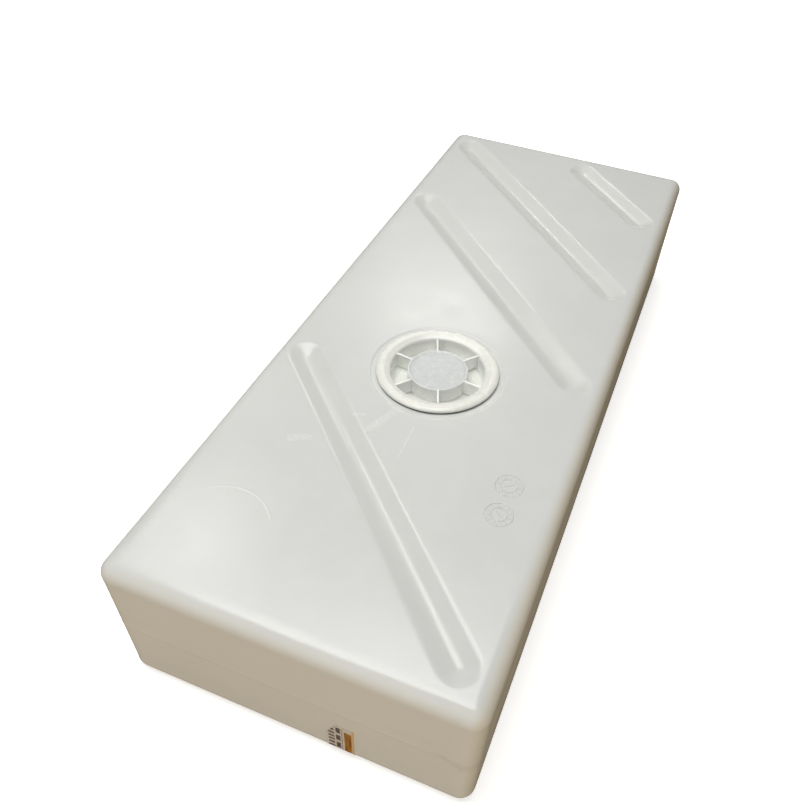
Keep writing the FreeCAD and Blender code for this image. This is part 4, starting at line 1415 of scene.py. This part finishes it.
class VESSEL_OT_drain_cock(bpy.types.Operator):
    """Make the drain cock: body, ball, seats, stem, lever, nut and tail"""

    bl_idname = "vessel.drain_cock"
    bl_label = "Drain cock"

    def execute(self, context):
        scene = context.scene
        fitting = scene.vessel_fittings
        plated = machined_metal("cock_metal", (0.60, 0.58, 0.54), (0.46, 0.44, 0.40), 0.26, (40, 900, 40))
        steel = machined_metal("nut_steel", (0.52, 0.53, 0.54), (0.36, 0.37, 0.36), 0.34, (60, 60, 700))
        chrome = machined_metal("ball_chrome", (0.70, 0.71, 0.72), (0.62, 0.63, 0.64), 0.12, (300, 300, 300))
        brass = bpy.data.materials["insert_brass"]
        coat(plated, "drain_body")
        coat(chrome, "drain_ball")
        coat(brass, "drain_stem")
        coat(seat_plastic(), "drain_seats")
        settle(build_drain_tail(fitting), plated, "tank", "cock_metal", "drain_tail")
        settle(build_lever(fitting), lever_enamel(scene.vessel_finish.enamel), "drain_handle", "lever_paint",
               "drain_lever")
        settle(build_lever_nut(fitting), steel, "drain_handle", "nut_steel", "lever_nut")
        return {"FINISHED"}


class VESSEL_OT_stage(bpy.types.Operator):
    """Set the pale floor, the soft light and the camera"""

    bl_idname = "vessel.stage"
    bl_label = "Stage"

    def execute(self, context):
        studio = context.scene.vessel_studio
        build_floor(studio)
        build_light(context.scene, studio)
        build_camera(context.scene, studio)
        return {"FINISHED"}


def build_floor(studio):
    """Pale floor that the camera sees nearly white, and that throws only a dim warm light on the sides."""
    material, tree, shader = blank("stage_floor")
    place = place_of(tree)
    paper = tint(tree, noise(tree, place, 3.0, 3.0, 0.5), (0.93, 0.925, 0.915), (0.95, 0.945, 0.935))
    path = add(tree, "ShaderNodeLightPath").outputs["Is Camera Ray"]
    tree.links.new(tint(tree, path, tuple(studio.bounce), paper), shader.inputs["Base Color"])
    shader.inputs["Roughness"].default_value = 0.8
    shader.inputs["Specular IOR Level"].default_value = 0.0
    shader.inputs["Emission Color"].default_value = (1, 1, 1, 1)
    tree.links.new(sum_of(tree, "MULTIPLY", path, studio.floor_glow), shader.inputs["Emission Strength"])
    half = 9.0
    floor = link_mesh("stage_floor", [(-half, -half, 0), (half, -half, 0), (half, half, 0), (-half, half, 0)],
                      [(0, 1, 2, 3)])
    floor.data.materials.append(material)


def soft_light(scene, name, power, size, place, target, colour, glossy=True):
    data = bpy.data.lights.new(name, "AREA")
    data.shape = "RECTANGLE"
    data.size, data.size_y = size
    data.energy = power
    data.color = colour
    light = bpy.data.objects.new(name, data)
    light.location = place
    light.rotation_euler = (Vector(target) - Vector(place)).to_track_quat("-Z", "Y").to_euler()
    light.visible_glossy = glossy
    scene.collection.objects.link(light)


def build_light(scene, studio):
    world = bpy.data.worlds.new("pale_room")
    world.use_nodes = True
    tree = world.node_tree
    room = tree.nodes["Background"]
    room.inputs["Color"].default_value = (0.98, 0.99, 1.0, 1)
    path = add(tree, "ShaderNodeLightPath").outputs["Is Camera Ray"]
    tree.links.new(spread(tree, path, 0, 1, studio.sky, 1.0), room.inputs["Strength"])
    scene.world = world
    soft_light(scene, "overhead", studio.overhead, (1.8, 1.8), (-0.38, -0.12, 2.6), (-0.1, 0, 0.1),
               (1, 1, 0.985))
    soft_light(scene, "back_window", studio.window, (0.6, 0.2), (-0.74, 2.12, 1.9), (0.0, 0.2, 0.19),
               (1, 0.99, 0.97))
    soft_light(scene, "side_window", studio.window * 0.65, (0.4, 0.2), (-1.1, 0.48, 1.9), (0.0, -0.3, 0.19),
               (1, 0.99, 0.97))
    soft_light(scene, "warm_fill", studio.fill, (2.2, 0.16), (-0.15, -1.8, 0.09), (-0.05, -0.5, 0.09),
               (1, 0.91, 0.79), glossy=False)
    soft_light(scene, "side_fill", studio.side, (0.9, 0.16), (1.35, -0.95, 0.09), (0.2, -0.45, 0.09),
               (1, 0.90, 0.76), glossy=False)
    scene.view_settings.view_transform = "Standard"


def build_camera(scene, studio):
    data = bpy.data.cameras.new("view")
    data.lens = studio.lens
    data.sensor_width = 36.0
    data.shift_x = -0.0242
    data.shift_y = 0.0577
    data.clip_end = 50.0
    camera = bpy.data.objects.new("view", data)
    camera.location = (0.228, -0.789, 0.823)
    camera.rotation_euler = tuple(math.radians(angle) for angle in (42.94, -2.10, 22.10))
    scene.collection.objects.link(camera)
    scene.camera = camera


class VESSEL_PT_tools(bpy.types.Panel):
    """Lists the steps that build the vessel, with its settings"""

    bl_idname = "VESSEL_PT_tools"
    bl_label = "Flat Water Vessel"
    bl_space_type = "VIEW_3D"
    bl_region_type = "UI"
    bl_category = "Vessel"

    def draw(self, context):
        column = self.layout.column(align=True)
        for step in STEPS:
            column.operator(step.bl_idname)
        for name, group in GROUPS.items():
            box = self.layout.box()
            for key in group.__annotations__:
                box.prop(getattr(context.scene, name), key)


STEPS = [VESSEL_OT_shell, VESSEL_OT_marks, VESSEL_OT_lid, VESSEL_OT_connections, VESSEL_OT_drain_cock,
         VESSEL_OT_stage]
GROUPS = {"vessel_shape": VesselShape, "vessel_lid": LidShape, "vessel_marks": MarkShape,
          "vessel_fittings": FittingShape, "vessel_finish": VesselFinish, "vessel_studio": StudioLight}
CLASSES = [*GROUPS.values(), *STEPS, VESSEL_PT_tools]


def register():
    for item in CLASSES:
        bpy.utils.register_class(item)
    for name, group in GROUPS.items():
        setattr(bpy.types.Scene, name, PointerProperty(type=group))


def unregister():
    for name in GROUPS:
        delattr(bpy.types.Scene, name)
    for item in reversed(CLASSES):
        bpy.utils.unregister_class(item)


def main():
    register()
    bpy.ops.vessel.shell()
    bpy.ops.vessel.marks()
    bpy.ops.vessel.lid()
    bpy.ops.vessel.connections()
    bpy.ops.vessel.drain_cock()
    bpy.ops.vessel.stage()


if __name__ == "__main__":
    main()
